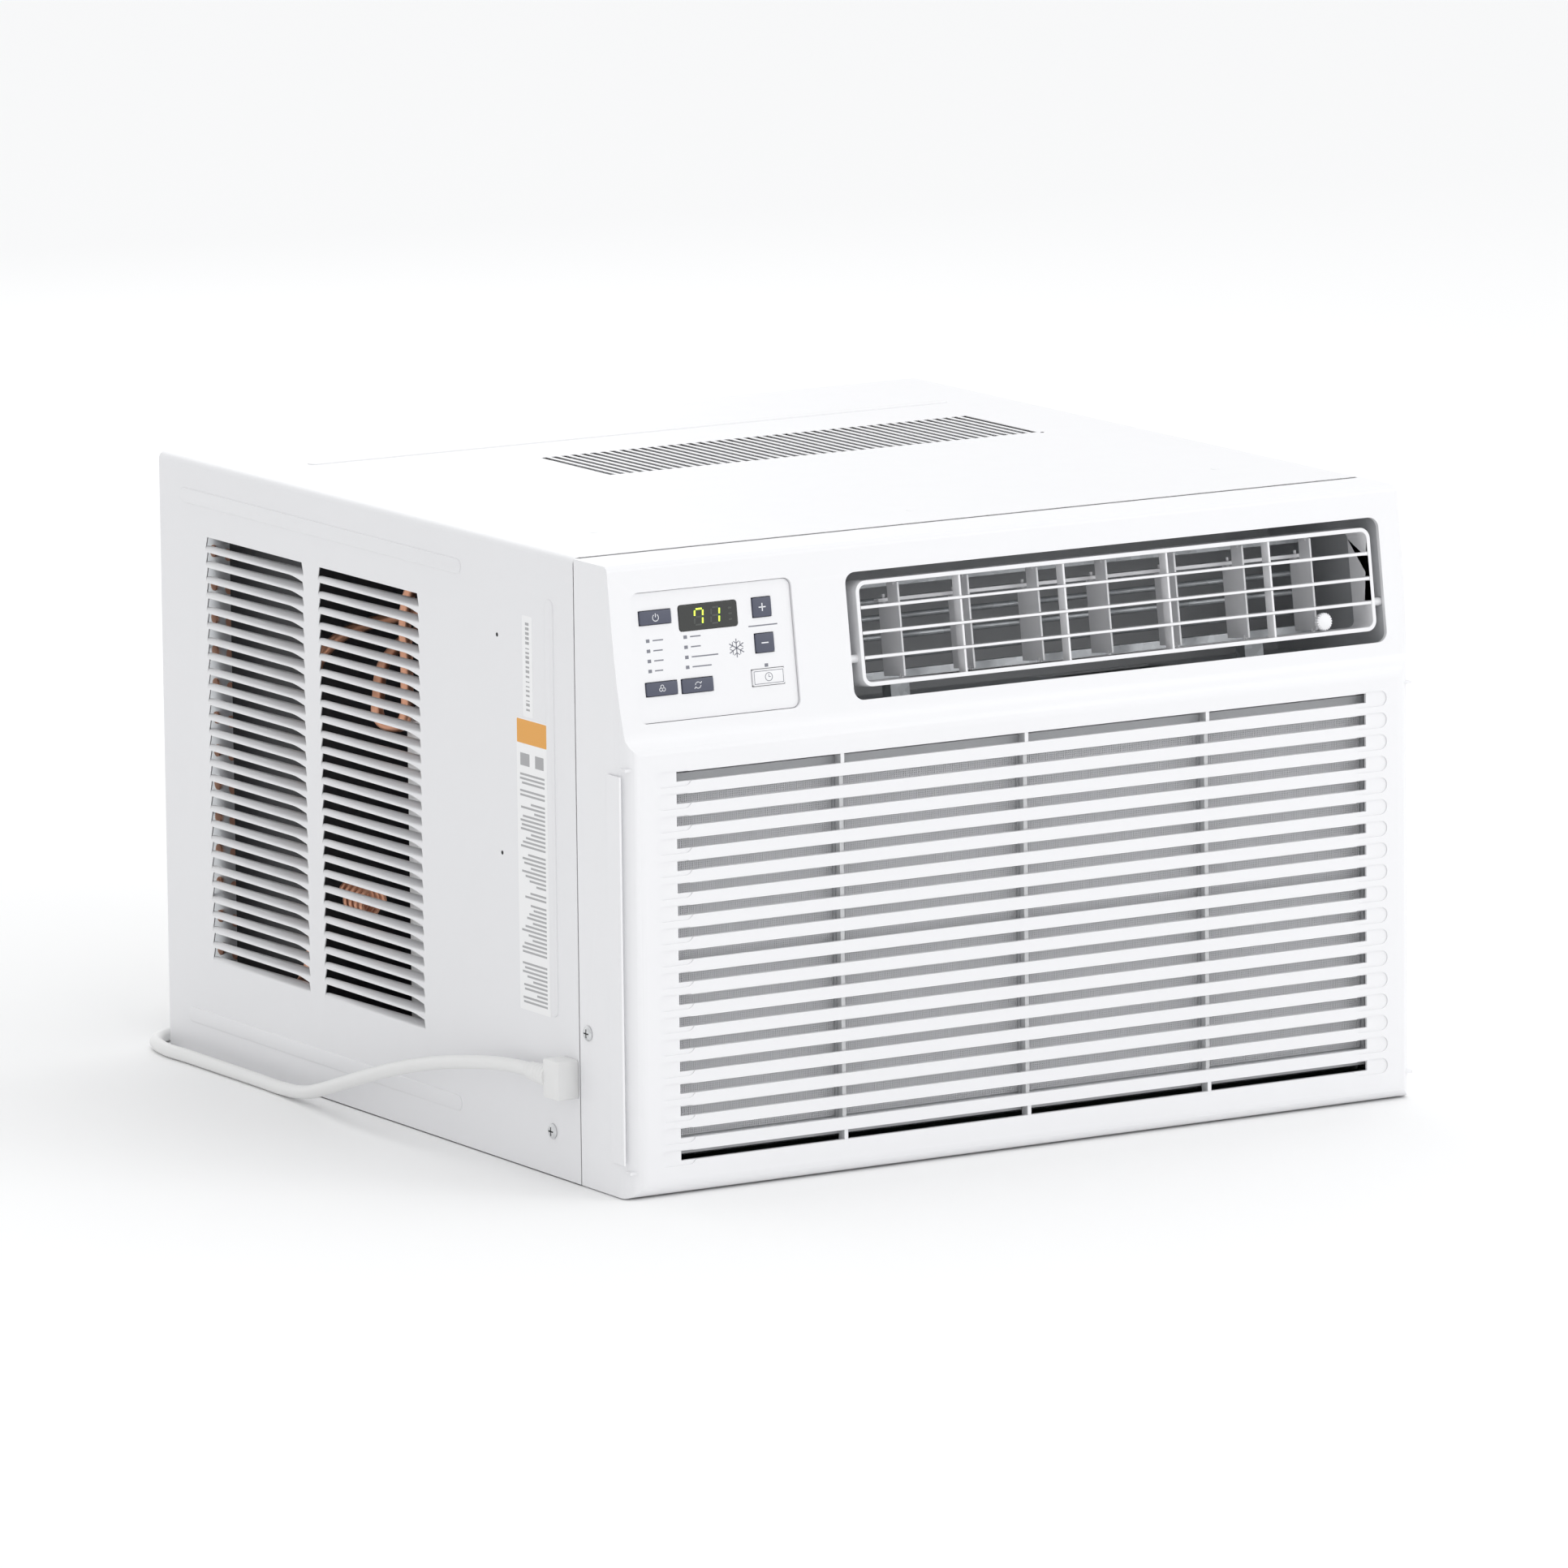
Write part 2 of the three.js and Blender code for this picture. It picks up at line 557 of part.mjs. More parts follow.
function filter() {
  const y = FRONT_Y + FILTER_SET_BACK;
  const half = FILTER_THICKNESS / 2;
  const [left, right] = [-HALF_W - GAP, HALF_W - FILTER_RIGHT_GAP];
  const b = FILTER_BORDER;
  let frame = cut(
    box(left, right, y - half, y + half, FILTER_LOW, FILTER_HIGH),
    box(left + b, right - b, y - half - 1, y + half + 1, FILTER_LOW + b, FILTER_HIGH - b),
  );
  const middleZ = (FILTER_LOW + FILTER_HIGH) / 2;
  frame = join(
    frame,
    ...RIB_X.map((x) => box(x - 2, x + 2, y - half, y - half + 3, FILTER_LOW + b - 1,
      FILTER_HIGH - b + 1)),
    box(left + b - 1, right - b + 1, y - half, y - half + 3, middleZ - 2, middleZ + 2),
  );
  add("filter_frame", frame, GREY_PLASTIC);
  add("filter_mesh", box(left + b + GAP, right - b - GAP, y - half + 3 + GAP, y - half + 4.6,
    FILTER_LOW + b + GAP, FILTER_HIGH - b - GAP), FILTER_NET);
  // the pull: a rounded strip that covers the slot in the panel's side
  const w = FILTER_PULL_WIDTH / 2;
  const strip = new THREE.Shape();
  const face = -HALF_W - GAP;
  strip.moveTo(face - GAP, y + w);
  strip.lineTo(face - SCREW_HEAD_HEIGHT + 0.6, y + w - 1.2);
  strip.lineTo(face - SCREW_HEAD_HEIGHT + GAP, y + w - 4);
  strip.lineTo(face - SCREW_HEAD_HEIGHT + GAP, y - w + 4);
  strip.lineTo(face - SCREW_HEAD_HEIGHT + 0.6, y - w + 1.2);
  strip.lineTo(face - GAP, y - w);
  add("filter_pull", prism("z", strip, FILTER_LOW - FILTER_PULL_OVERLAP,
    FILTER_HIGH + FILTER_PULL_OVERLAP), WHITE_PLASTIC);
}

// ---------------------------------------------------------------- air outlet
function outletDuct() {
  const half = OUTLET_WIDTH / 2 + DUCT_CLEARANCE;
  const [x0, x1] = [OUTLET_X - half, OUTLET_X + half];
  const [low, high] = [0, DUCT_HEIGHT];
  const t = DUCT_WALL;
  const front = PANEL_WALL + 1;
  const pivot = [SWING_PIVOT_DEPTH, SWING_PIVOT_UP];
  const made = cut(
    box(x0 - t, x1 + t, front, DUCT_DEPTH, low - t, high + t),
    box(x0, x1, front - 1, DUCT_DEPTH - t, low, high),
    // throat where the blower's air comes up
    box(SHAFT_X + 8, SHAFT_X + SCROLL_RADIUS - 6, 96, DUCT_DEPTH - 8, low - t - 1, low + 1),
    rod("x", SWING_PIN_RADIUS + 0.3, x0 - t - 1, x1 + t + 1, ...pivot, 16),
  );
  add("outlet_duct", made, GREY_PLASTIC, slope);
}

function swingLouvre() {
  const left = OUTLET_X - SWING_WIDTH / 2;
  const [right, low, high] = [left + SWING_WIDTH, SWING_LOW, SWING_LOW + SWING_HEIGHT];
  const bar = SWING_BAR;
  const ring = cut(
    prism("y", roundedOutline(left, low, SWING_WIDTH, SWING_HEIGHT, SWING_CORNER), 0,
      SWING_DEPTH, 4),
    prism("y", roundedOutline(left + bar, low + bar, SWING_WIDTH - 2 * bar,
      SWING_HEIGHT - 2 * bar, SWING_CORNER - bar), -1, SWING_DEPTH + 1, 4),
  );
  const rows = SWING_ROWS.map((up) =>
    box(left + 1, right - 1, 0.4, SWING_GRID_DEPTH - 1, up - 1.1, up + 1.1));
  const columns = [-1.5, -0.5, 0.5, 1.5].map((i) => {
    const x = OUTLET_X + i * SWING_COLUMN_PITCH;
    return box(x - 0.9, x + 0.9, 0.8, SWING_GRID_DEPTH, low + 1, high - 1);
  });
  const pinOut = OUTLET_WIDTH / 2 + DUCT_CLEARANCE + DUCT_WALL;
  const pins = [-1, 1].map((side) => {
    const ends = [OUTLET_X + side * pinOut, OUTLET_X + side * (SWING_WIDTH / 2 - 1)];
    return rod("x", SWING_PIN_RADIUS, Math.min(...ends), Math.max(...ends),
      SWING_PIVOT_DEPTH, SWING_PIVOT_UP, 16);
  });
  let made = join(ring, ...rows, ...columns, ...pins);
  for (let i = 0; i < VANE_COUNT; i++) {
    const x = OUTLET_X + (i - (VANE_COUNT - 1) / 2) * VANE_PITCH;
    made = cut(
      made,
      rod("z", VANE_PIN_RADIUS + 0.3, low - 1, low + bar + 1, x, VANE_PIVOT_DEPTH, 8),
      rod("z", VANE_PIN_RADIUS + 0.3, high - bar - 1, high + 1, x, VANE_PIVOT_DEPTH, 8),
    );
  }
  add("swing_louvre", made, WHITE_PLASTIC, slope);
}

function vanes() {
  const [low, high] = [SWING_LOW + SWING_BAR, SWING_LOW + SWING_HEIGHT - SWING_BAR];
  const outline = new THREE.Shape();
  // depth, height
  outline.moveTo(VANE_FRONT, low + 1.2);
  outline.lineTo(VANE_BACK, low + 1.2);
  outline.lineTo(VANE_BACK, VANE_SHOULDER_UP);
  outline.lineTo(VANE_SHOULDER_DEPTH, VANE_SHOULDER_UP);
  outline.lineTo(VANE_SHOULDER_DEPTH, high - 1.2);
  outline.lineTo(VANE_FRONT, high - 1.2);
  const holes = [];
  for (let i = 0; i < VANE_COUNT; i++) {
    const x = OUTLET_X + (i - (VANE_COUNT - 1) / 2) * VANE_PITCH;
    const vane = join(
      prism("x", outline, x - VANE_THICKNESS / 2, x + VANE_THICKNESS / 2),
      rod("z", VANE_PIN_RADIUS, low - 2.4, low + 3, x, VANE_PIVOT_DEPTH, 8),
      rod("z", VANE_PIN_RADIUS, high - 3, high + 2.4, x, VANE_PIVOT_DEPTH, 8),
      rod("z", LINK_PEG_RADIUS, VANE_SHOULDER_UP - 1, VANE_SHOULDER_UP + 6, x, LINK_DEPTH, 6),
    );
    add(`vane_${i + 1}`, vane, WHITE_PLASTIC, slope);
    holes.push(rod("z", LINK_PEG_RADIUS + 0.4, VANE_SHOULDER_UP - 1, VANE_SHOULDER_UP + 6,
      x, LINK_DEPTH, 6));
  }
  const reach = ((VANE_COUNT - 1) / 2) * VANE_PITCH + 6;
  add("vane_link", cut(box(OUTLET_X - reach, OUTLET_X + reach, LINK_DEPTH - 3.2, LINK_DEPTH + 3.2,
    VANE_SHOULDER_UP + 0.6, VANE_SHOULDER_UP + 3.2), ...holes), WHITE_PLASTIC, slope);
  const knobX = OUTLET_X + ((VANE_COUNT - 1) / 2) * VANE_PITCH;
  add("vane_knob", join(
    rod("y", KNOB_RADIUS, 1.5, 6.5, knobX, KNOB_UP, SEGMENTS),
    rod("y", 2.4, 6.4, VANE_FRONT - GAP, knobX, KNOB_UP, 12),
  ), WHITE_PLASTIC, slope);
}

function heater() {
  const half = OUTLET_WIDTH / 2 - 20;
  const [x0, x1] = [OUTLET_X - half, OUTLET_X + half];
  const frame = cut(box(x0, x1, 62, 74, 14, 86), box(x0 + 6, x1 - 6, 61, 75, 20, 80));
  const rods = [30, 44, 58, 70].map((up) => rod("x", 2.2, x0 + 5, x1 - 5, 68, up, 8));
  const feet = [-1, 1].map((side) => {
    const x = OUTLET_X + side * (half - 55);
    return box(x - 8, x + 8, 62, 74, GAP, 15);
  });
  add("heater_frame", join(frame, ...rods, ...feet), GALVANISED, slope);
}

// ---------------------------------------------------------------- controls
function controls() {
  const g = GAP;
  const [front, back] = [FASCIA_SET_BACK, FASCIA_SET_BACK + FASCIA_THICKNESS];
  let fascia = prism("y", roundedOutline(CONTROL_LEFT + g, CONTROL_LOW + g,
    CONTROL_WIDTH - 2 * g, CONTROL_HEIGHT - 2 * g, CONTROL_CORNER - g), front, back, 4);
  const c = BUTTON_CLEARANCE;
  for (const [name, [fromEdge, low, width, height]] of Object.entries(BUTTONS)) {
    const left = CONTROL_LEFT + fromEdge;
    fascia = fascia.subtract(
      box(left - c, left + width + c, front - 1, back + 1, low - c, low + height + c));
    const cap = prism("y", roundedOutline(left, low, width, height, 1.2), front - BUTTON_PROUD,
      back + 0.6, 3);
    const flange = box(left - 1.2, left + width + 1.2, back + 0.4, back + 1.4, low - 1.2,
      low + height + 1.2);
    add(name, join(cap, flange), name === "timer_button" ? WHITE_PLASTIC : SLATE, slope);
  }
  const [fromEdge, low, width, height] = DISPLAY;
  const left = CONTROL_LEFT + fromEdge;
  fascia = fascia.subtract(
    prism("y", roundedOutline(left - g, low - g, width + 2 * g, height + 2 * g, 2.3),
      front - 1, back + 1, 3));
  add("display_window", prism("y", roundedOutline(left, low, width, height, 2), front - 0.4, back,
    3), SMOKED_GLASS, slope);
  add("control_fascia", fascia, WHITE_PLASTIC, slope);
  const [boxLeft, boxRight] = [CONTROL_LEFT + 3, CONTROL_LEFT + CONTROL_WIDTH - 3];
  const [boxLow, boxHigh] = [CONTROL_LOW + 3, CONTROL_LOW + CONTROL_HEIGHT - 3];
  add("control_box", cut(
    box(boxLeft, boxRight, back + 0.4, 82, boxLow, boxHigh),
    box(boxLeft + 2, boxRight - 2, back - 1, 80, boxLow + 2, boxHigh - 2),
  ), GALVANISED, slope);
  add("control_board", box(boxLeft + 4, boxRight - 4, back + 4, back + 5.6, boxLow + 4,
    boxHigh - 4), BOARD, slope);
  add("run_capacitor", rod("x", 19, boxLeft + 12, boxLeft + 78, 46, boxLow + 26, 20),
    ALUMINIUM, slope);
}

// ---------------------------------------------------------------- air handling
function blower() {
  const [x, z] = [SHAFT_X, SHAFT_Z];
  const front = SEAM_Y + SCROLL_FRONT;
  const back = front + SCROLL_DEPTH;
  const wheelFront = front + 18;
  const wheelBack = wheelFront + BLOWER_WIDTH;
  const scroll = cut(
    box(x - SCROLL_RADIUS - 16, x + SCROLL_RADIUS + 16, front, back, z - SCROLL_RADIUS - 14,
      z + SCROLL_RADIUS + 2),
    rod("y", SCROLL_RADIUS, front + SCROLL_WALL, back - SCROLL_WALL, x, z, 40),
    box(x, x + SCROLL_RADIUS, front + SCROLL_WALL, back - SCROLL_WALL, z, z + SCROLL_RADIUS + 3),
    rod("y", BLOWER_RADIUS - 27, front - 1, front + SCROLL_WALL + 1, x, z, 32),
    rod("y", SHAFT_RADIUS + 8, back - SCROLL_WALL - 1, back + 1, x, z, 16),
  );
  add("blower_scroll", scroll, FOAM);
  const rim = (y0, y1) => cut(
    rod("y", BLOWER_RADIUS, y0, y1, x, z, 36),
    rod("y", BLOWER_RADIUS - 16, y0 - 1, y1 + 1, x, z, 36),
  );
  const plate = rod("y", BLOWER_RADIUS, wheelBack - 3, wheelBack, x, z, 36);
  const hub = rod("y", 15, wheelBack - 34, wheelBack, x, z, 16);
  const blades = [];
  for (let i = 0; i < BLOWER_BLADES; i++) {
    const blade = new THREE.BoxGeometry(14, BLOWER_WIDTH - 3, 1.4);
    blade.rotateY(0.6);
    blade.translate(BLOWER_RADIUS - 8.5, (wheelFront + wheelBack) / 2, 0);
    blade.rotateY((2 * Math.PI * i) / BLOWER_BLADES);
    blade.translate(x, 0, z);
    blades.push(solid(blade));
  }
  add("blower_wheel", cut(join(rim(wheelFront, wheelFront + 3), plate, hub, ...blades),
    rod("y", SHAFT_RADIUS + GAP, front, back, x, z, 16)), GREY_PLASTIC);
  add("motor_shaft", rod("y", SHAFT_RADIUS, wheelBack - 40, SEAM_Y + FAN_FRONT + FAN_LENGTH + 6,
    x, z, 16), BRIGHT_STEEL);
}

function motor() {
  const [x, z] = [SHAFT_X, SHAFT_Z];
  const front = SEAM_Y + MOTOR_FRONT;
  const back = front + MOTOR_LENGTH;
  add("fan_motor", cut(
    join(
      rod("y", MOTOR_RADIUS, front + 12, back - 12, x, z, 32),
      rod("y", MOTOR_RADIUS - 9, front, back, x, z, 32),
    ),
    rod("y", SHAFT_RADIUS + GAP, front - 1, back + 1, x, z, 16),
  ), BLACK_STEEL);
  const saddle = cut(
    box(x - 46, x + 46, front + 24, back - 24, PAN_Z + GAP, z - 22),
    rod("y", MOTOR_RADIUS + GAP, front, back, x, z, 32),
    box(x - 34, x + 34, front + 20, back - 20, PAN_Z + 14, z - MOTOR_RADIUS - 14),
  );
  add("motor_bracket", saddle, GALVANISED);
}

function bulkhead() {
  const x = HALF_W - SHEET - 1.2;
  const y = SEAM_Y + BULKHEAD_BACK;
  add("bulkhead", cut(
    box(-x, x, y, y + SHEET, PAN_Z + GAP, HEIGHT - SHEET - 1),
    rod("y", 24, y - 1, y + 3, SHAFT_X, SHAFT_Z, 20),
    rod("y", PIPE_RADIUS + 4.2, y - 1, y + 3, -HALF_W + PIPE_IN, PIPE_TOP, 16),
    // the base pan's side walls pass the lower corners
    box(-x - 1, -HALF_W + 8, y - 1, y + 3, 0, PAN_Z + 24),
    box(HALF_W - 8, x + 1, y - 1, y + 3, 0, PAN_Z + 24),
  ), GALVANISED);
}

function condenserFan() {
  const [x, z] = [SHAFT_X, SHAFT_Z];
  const front = SEAM_Y + FAN_FRONT;
  const middle = front + FAN_LENGTH / 2;
  const blades = [];
  for (let i = 0; i < FAN_BLADES; i++) {
    const blade = new THREE.BoxGeometry(FAN_RADIUS - 22, 2.4, 96);
    blade.rotateX(0.3);
    blade.translate((FAN_RADIUS + 22) / 2, middle, 0);
    blade.translate(0, -middle, 0);
    blade.rotateY((2 * Math.PI * i) / FAN_BLADES);
    blade.translate(x, middle, z);
    blades.push(solid(blade));
  }
  const disc = rod("y", FAN_RADIUS - 1, front, front + FAN_LENGTH, x, z, 40);
  const ring = cut(
    rod("y", FAN_RADIUS + 3, middle - 9, middle + 9, x, z, 40),
    rod("y", FAN_RADIUS - 1.5, middle - 10, middle + 10, x, z, 40),
  );
  add("condenser_fan", cut(
    join(rod("y", 30, front, front + FAN_LENGTH, x, z), ring, join(...blades).intersect(disc)),
    rod("y", SHAFT_RADIUS + GAP, front - 1, front + FAN_LENGTH + 1, x, z, 16),
  ), GREY_PLASTIC);
  const [low, high] = [PAN_Z + GAP + 1.5, HEIGHT - 14];
  const w = SHROUD_HALF_WIDTH;
  add("fan_shroud", cut(
    box(-w, w, SEAM_Y + SHROUD_FRONT, SEAM_Y + SHROUD_BACK, low, high),
    box(-w + 3, w - 3, SEAM_Y + SHROUD_FRONT + 3, SEAM_Y + SHROUD_BACK + 1, low + 3, high - 3),
    rod("y", FAN_RADIUS + 10, SEAM_Y + SHROUD_FRONT - 1, SEAM_Y + SHROUD_FRONT + 5, x, z, 48),
  ), BLACK_PLASTIC);
}

function coils() {
  const coil = (name, x0, x1, front, depth, low, high) => {
    const [y0, y1] = [SEAM_Y + front, SEAM_Y + front + depth];
    const plates = [x0, x1 - 3].map((x) => box(x, x + 3, y0 - 1.5, y1 + 1.5, low - 1.5, high + 3));
    add(name, join(box(x0 + 1, x1 - 1, y0, y1, low, high), ...plates), ALUMINIUM);
  };
  coil("evaporator_coil", -HALF_W + 40, HALF_W - 30, EVAPORATOR_FRONT, EVAPORATOR_DEPTH,
    EVAPORATOR_LOW, EVAPORATOR_HIGH);
  coil("condenser_coil", -HALF_W + 32, HALF_W - 32, CONDENSER_FRONT, CONDENSER_DEPTH,
    CONDENSER_LOW, HEIGHT - 20);
}

// ---------------------------------------------------------------- refrigerant circuit
function compressor() {
  const [x, y, r] = [COMPRESSOR_X, SEAM_Y + COMPRESSOR_BACK, COMPRESSOR_RADIUS];
  const [low, high] = [COMPRESSOR_LOW, COMPRESSOR_HIGH];
  const shell = turned([[0, low], [r - 16, low], [r - 3, low + 10], [r, low + 26], [r, high - 42],
    [r - 6, high - 22], [r - 22, high - 7], [r - 44, high], [0, high]], x, y, 28);
  const lugs = [];
  for (let i = 0; i < 3; i++) {
    const angle = Math.PI / 6 + (2 * Math.PI * i) / 3;
    const at = [x + (r + 2) * Math.cos(angle), y + (r + 2) * Math.sin(angle)];
    const lug = new THREE.BoxGeometry(44, 30, 4);
    lug.translate(r + COMPRESSOR_LUG_REACH - 22, 0, low + 6);
    lug.rotateZ(angle);
    lug.translate(x, y, 0);
    lugs.push(solid(lug));
    add(`compressor_grommet_${i + 1}`, rod("z", 12, PAN_Z + GAP, low + 4 - GAP, ...at, 16), RUBBER);
  }
  add("compressor", join(shell, ...lugs), BLACK_STEEL);
  const [wide, front, back] = [r + 2 * BLANKET_THICKNESS, SEAM_Y + BULKHEAD_BACK, SEAM_Y + SHROUD_FRONT];
  const wrap = cut(
    rod("z", r + 1 + BLANKET_THICKNESS, 44, high - 12, x, y, 32),
    rod("z", r + 1, 43, high - 11, x, y, 32),
    box(x - wide, x + wide, front - wide, front + 2, 43, high - 11),
    box(x - wide, x + wide, back - 1, back + wide, 43, high - 11),
    box(x + r - 8, x + r + BLANKET_THICKNESS + 6, y - 5, y + 5, 43, high - 11),
  );
  add("compressor_blanket", wrap, FELT);
}

function pipes() {
  const y = (behind) => SEAM_Y + behind;
  const x = -HALF_W + PIPE_IN;
  const [c, top] = [COMPRESSOR_BACK, COMPRESSOR_HIGH];
  add("suction_pipe", tube([
    [COMPRESSOR_X, y(c), top + 1], [COMPRESSOR_X - 2, y(c), top + 30],
    [COMPRESSOR_X - 20, y(c + 7), top + 52], [x + 34, y(c + 33), top + 52],
    [x, y(c + 46), top + 30], [x - 8, y(c + 47), top], [x - 8, y(c + 46), top - 14],
    [x - 4, y(c + 35), top - 18], [x - 4, y(c + 15), top - 10], [x - 4, y(c + 11), top + 20],
    [x - 4, y(c + 7), top + 80], [x - 1, y(c - 15), PIPE_TOP], [x, y(220), PIPE_TOP],
    [x, y(150), PIPE_TOP], [x, y(84), PIPE_TOP - 4], [x - 1, y(58), PIPE_TOP - 28],
    [x - 2, y(50), PIPE_TOP - 56], [x - 2, y(38), PIPE_TOP - 76], [x - 2, y(12), PIPE_TOP - 82],
    [x - 2, y(-6), PIPE_TOP - 88], [x - 2, y(-12), PIPE_TOP - 110],
    [x - 1, y(-12), PIPE_TOP - 150],
  ], PIPE_RADIUS, 46, 8), COPPER);
  const s = SHROUD_FRONT;
  const stub = COMPRESSOR_X + COMPRESSOR_RADIUS - 37; // where the pipe leaves the shell's shoulder
  const bend = c + 23 + 0.48 * (s - c - 63);
  add("discharge_pipe", tube([
    [stub, y(c + 15), top], [stub - 2, y(c + 23), top + 30],
    [COMPRESSOR_X + 9, y(bend), top + 48], [x + 46, y(s - 40), top + 46],
    [x - 4, y(s - 20), top + 22], [x - 12, y(s - 16), top - 20],
    [x - 12, y(s - 16), (top + 100) / 2], [x - 13, y(s - 16), 120], [x - 16, y(s - 6), 80],
    [x - 18, y(s + 30), 60], [x - 18, y(s + 80), 56], [x - 17, y(s + 120), 56],
    [x - 12, y(s + 140), 60],
  ], PIPE_RADIUS, 38, 8), COPPER);
  const loops = [];
  for (let i = 0; i <= CAPILLARY_TURNS * 12; i++) {
    const angle = (2 * Math.PI * i) / 12;
    loops.push([
      x - 12 + CAPILLARY_LOOP * Math.cos(angle) * 0.8,
      y(s - 104) + (CAPILLARY_PITCH * i) / 12,
      150 + CAPILLARY_LOOP * Math.sin(angle),
    ]);
  }
  add("capillary_coil", tube(loops, CAPILLARY_RADIUS, Math.round(CAPILLARY_TURNS * 11), 6), COPPER);
}

// ---------------------------------------------------------------- mains lead
function mainsLead() {
  const x = -HALF_W - 11;
  const y = (behind) => SEAM_Y + behind;
  // the strain relief: a block through the cabinet's wall, with a tapered sleeve towards the back
  const block = join(
    box(-HALF_W - 17, -HALF_W - GAP, y(2.5), y(24), 62.5, 90.5),
    box(-HALF_W - 1, -HALF_W + 6, y(4.4), y(25.6), 65.4, 88.6),
  );
  const sleeve = new THREE.CylinderGeometry(CORD_RADIUS + 0.9, CORD_RADIUS + 2.6, 30, 16);
  sleeve.translate(x, y(38), 76.5);
  const bore = rod("y", CORD_RADIUS + 0.6, y(48), y(54), x, 76.5, 16);
  add("cord_gland", cut(join(block, solid(sleeve)), bore), WHITE_CORD);
  const coilY = BACK_Y + COIL_BEHIND;
  const lineY = coilY - COIL_RADIUS; // the cord runs along this line to the coil, behind the machine
  const low = CORD_FLOOR_Z;
  // part of the way from the strain relief to the cabinet's back
  const along = (part) => y(62) + part * (CABINET_DEPTH - 62);
  add("power_cord", tube([
    [x, y(48.5), 76.5], [x, y(62), 76.5], [x - 3, along(0.054), 75], [x - 8, along(0.123), 70.5],
    [x - 13, along(0.196), 63.5], [x - 17, along(0.268), 54], [x - 19, along(0.34), 42.5],
    [x - 19, along(0.413), 30], [x - 16, along(0.482), 18.5], [x - 12, along(0.547), 9.6],
    [x - 9, along(0.612), low + 0.4], [x - 8, along(0.685), low], [x - 8, along(0.775), low],
    [x - 8, along(0.875), low], [x - 8, along(0.957), low], [x + 3, BACK_Y + 6, low],
    [x + 25, BACK_Y + 22, low], [x + 49, lineY, low], [x + 79, lineY, low],
    [COIL_X - COIL_END_X, lineY, low],
  ], CORD_RADIUS, 52, 8), WHITE_CORD);
  const [inner, outer] = [COIL_RADIUS - CORD_RADIUS, COIL_RADIUS + CORD_RADIUS];
  const [floor, crown] = [low - CORD_RADIUS, low + COIL_TURNS * COIL_PITCH + CORD_RADIUS];
  const edge = 3;
  add("cord_coil", turned([
    [inner, floor + edge], [inner + edge, floor], [outer - edge, floor], [outer, floor + edge],
    [outer, crown - edge], [outer - edge, crown], [inner + edge, crown], [inner, crown - edge],
    [inner, floor + edge],
  ], COIL_X, coilY, 36), WHITE_CORD);
  // the cord comes off the top of the coil and drops to the plug
  const tailEnd = COIL_X + COIL_END_X + TAIL_LENGTH;
  const top = low + COIL_TURNS * COIL_PITCH;
  add("cord_tail", tube([
    [COIL_X + COIL_END_X, lineY, top], [COIL_X + COIL_END_X + 16, lineY, top - 1.5],
    [tailEnd - TAIL_LENGTH / 2, lineY, (top + PLUG_Z) / 2], [tailEnd - 16, lineY, PLUG_Z + 0.5],
    [tailEnd - GAP, lineY, PLUG_Z],
  ], CORD_RADIUS, 10, 8), WHITE_CORD);
  const cone = new THREE.CylinderGeometry(CORD_RADIUS + 3.6, CORD_RADIUS + 1.2, 26, 16);
  cone.rotateZ(-Math.PI / 2);
  cone.translate(tailEnd + 13, lineY, PLUG_Z);
  const body = box(tailEnd + 25, tailEnd + 52, lineY - 16, lineY + 16, PLUG_Z - 13.2, PLUG_Z + 13.2);
  add("plug", join(solid(cone), body), WHITE_CORD);
  const face = tailEnd + 52 + GAP;
  for (const [i, side] of [-1, 1].entries()) {
    const at = lineY + side * 9.5;
    add(`plug_blade_${i + 1}`, box(face, face + 17, at - 3.2, at + 3.2, PLUG_Z - 4.8,
      PLUG_Z - 3.3), BRASS);
  }
  add("plug_earth_pin", rod("x", 2.4, face, face + 20, lineY, PLUG_Z + 6.5, 12), BRASS);
}

// ---------------------------------------------------------------- fasteners
function screws() {
  const screw = (name, side, [behind, z]) => {
    const y = SEAM_Y + behind;
    const face = side * (HALF_W + GAP);
    const head = [face, side * (HALF_W + SCREW_HEAD_HEIGHT)];
    const shank = [side * (HALF_W - 8), side * (HALF_W + 1)];
    add(name, join(
      rod("x", SCREW_HEAD_RADIUS, Math.min(...head), Math.max(...head), y, z, 20),
      rod("x", SCREW_SHANK_RADIUS, Math.min(...shank), Math.max(...shank), y, z, 10),
    ), BRIGHT_STEEL);
  };
  for (const [label, side] of [["left", -1], ["right", 1]]) {
    screw(`panel_screw_${label}`, side, PANEL_SCREW);
    screw(`cabinet_screw_${label}`, side, CABINET_SCREW);
  }
}

cabinet();
basePan();
rearGuard();
frontPanel();
filter();
outletDuct();
swingLouvre();
vanes();
heater();
controls();
blower();
motor();
bulkhead();
condenserFan();
coils();
compressor();
pipes();
mainsLead();
screws();

export default unit;
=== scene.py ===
"""A window air conditioner that cools and heats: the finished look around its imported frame."""

import json
import math
import random

import bmesh
import bpy
from mathutils import Matrix, Vector


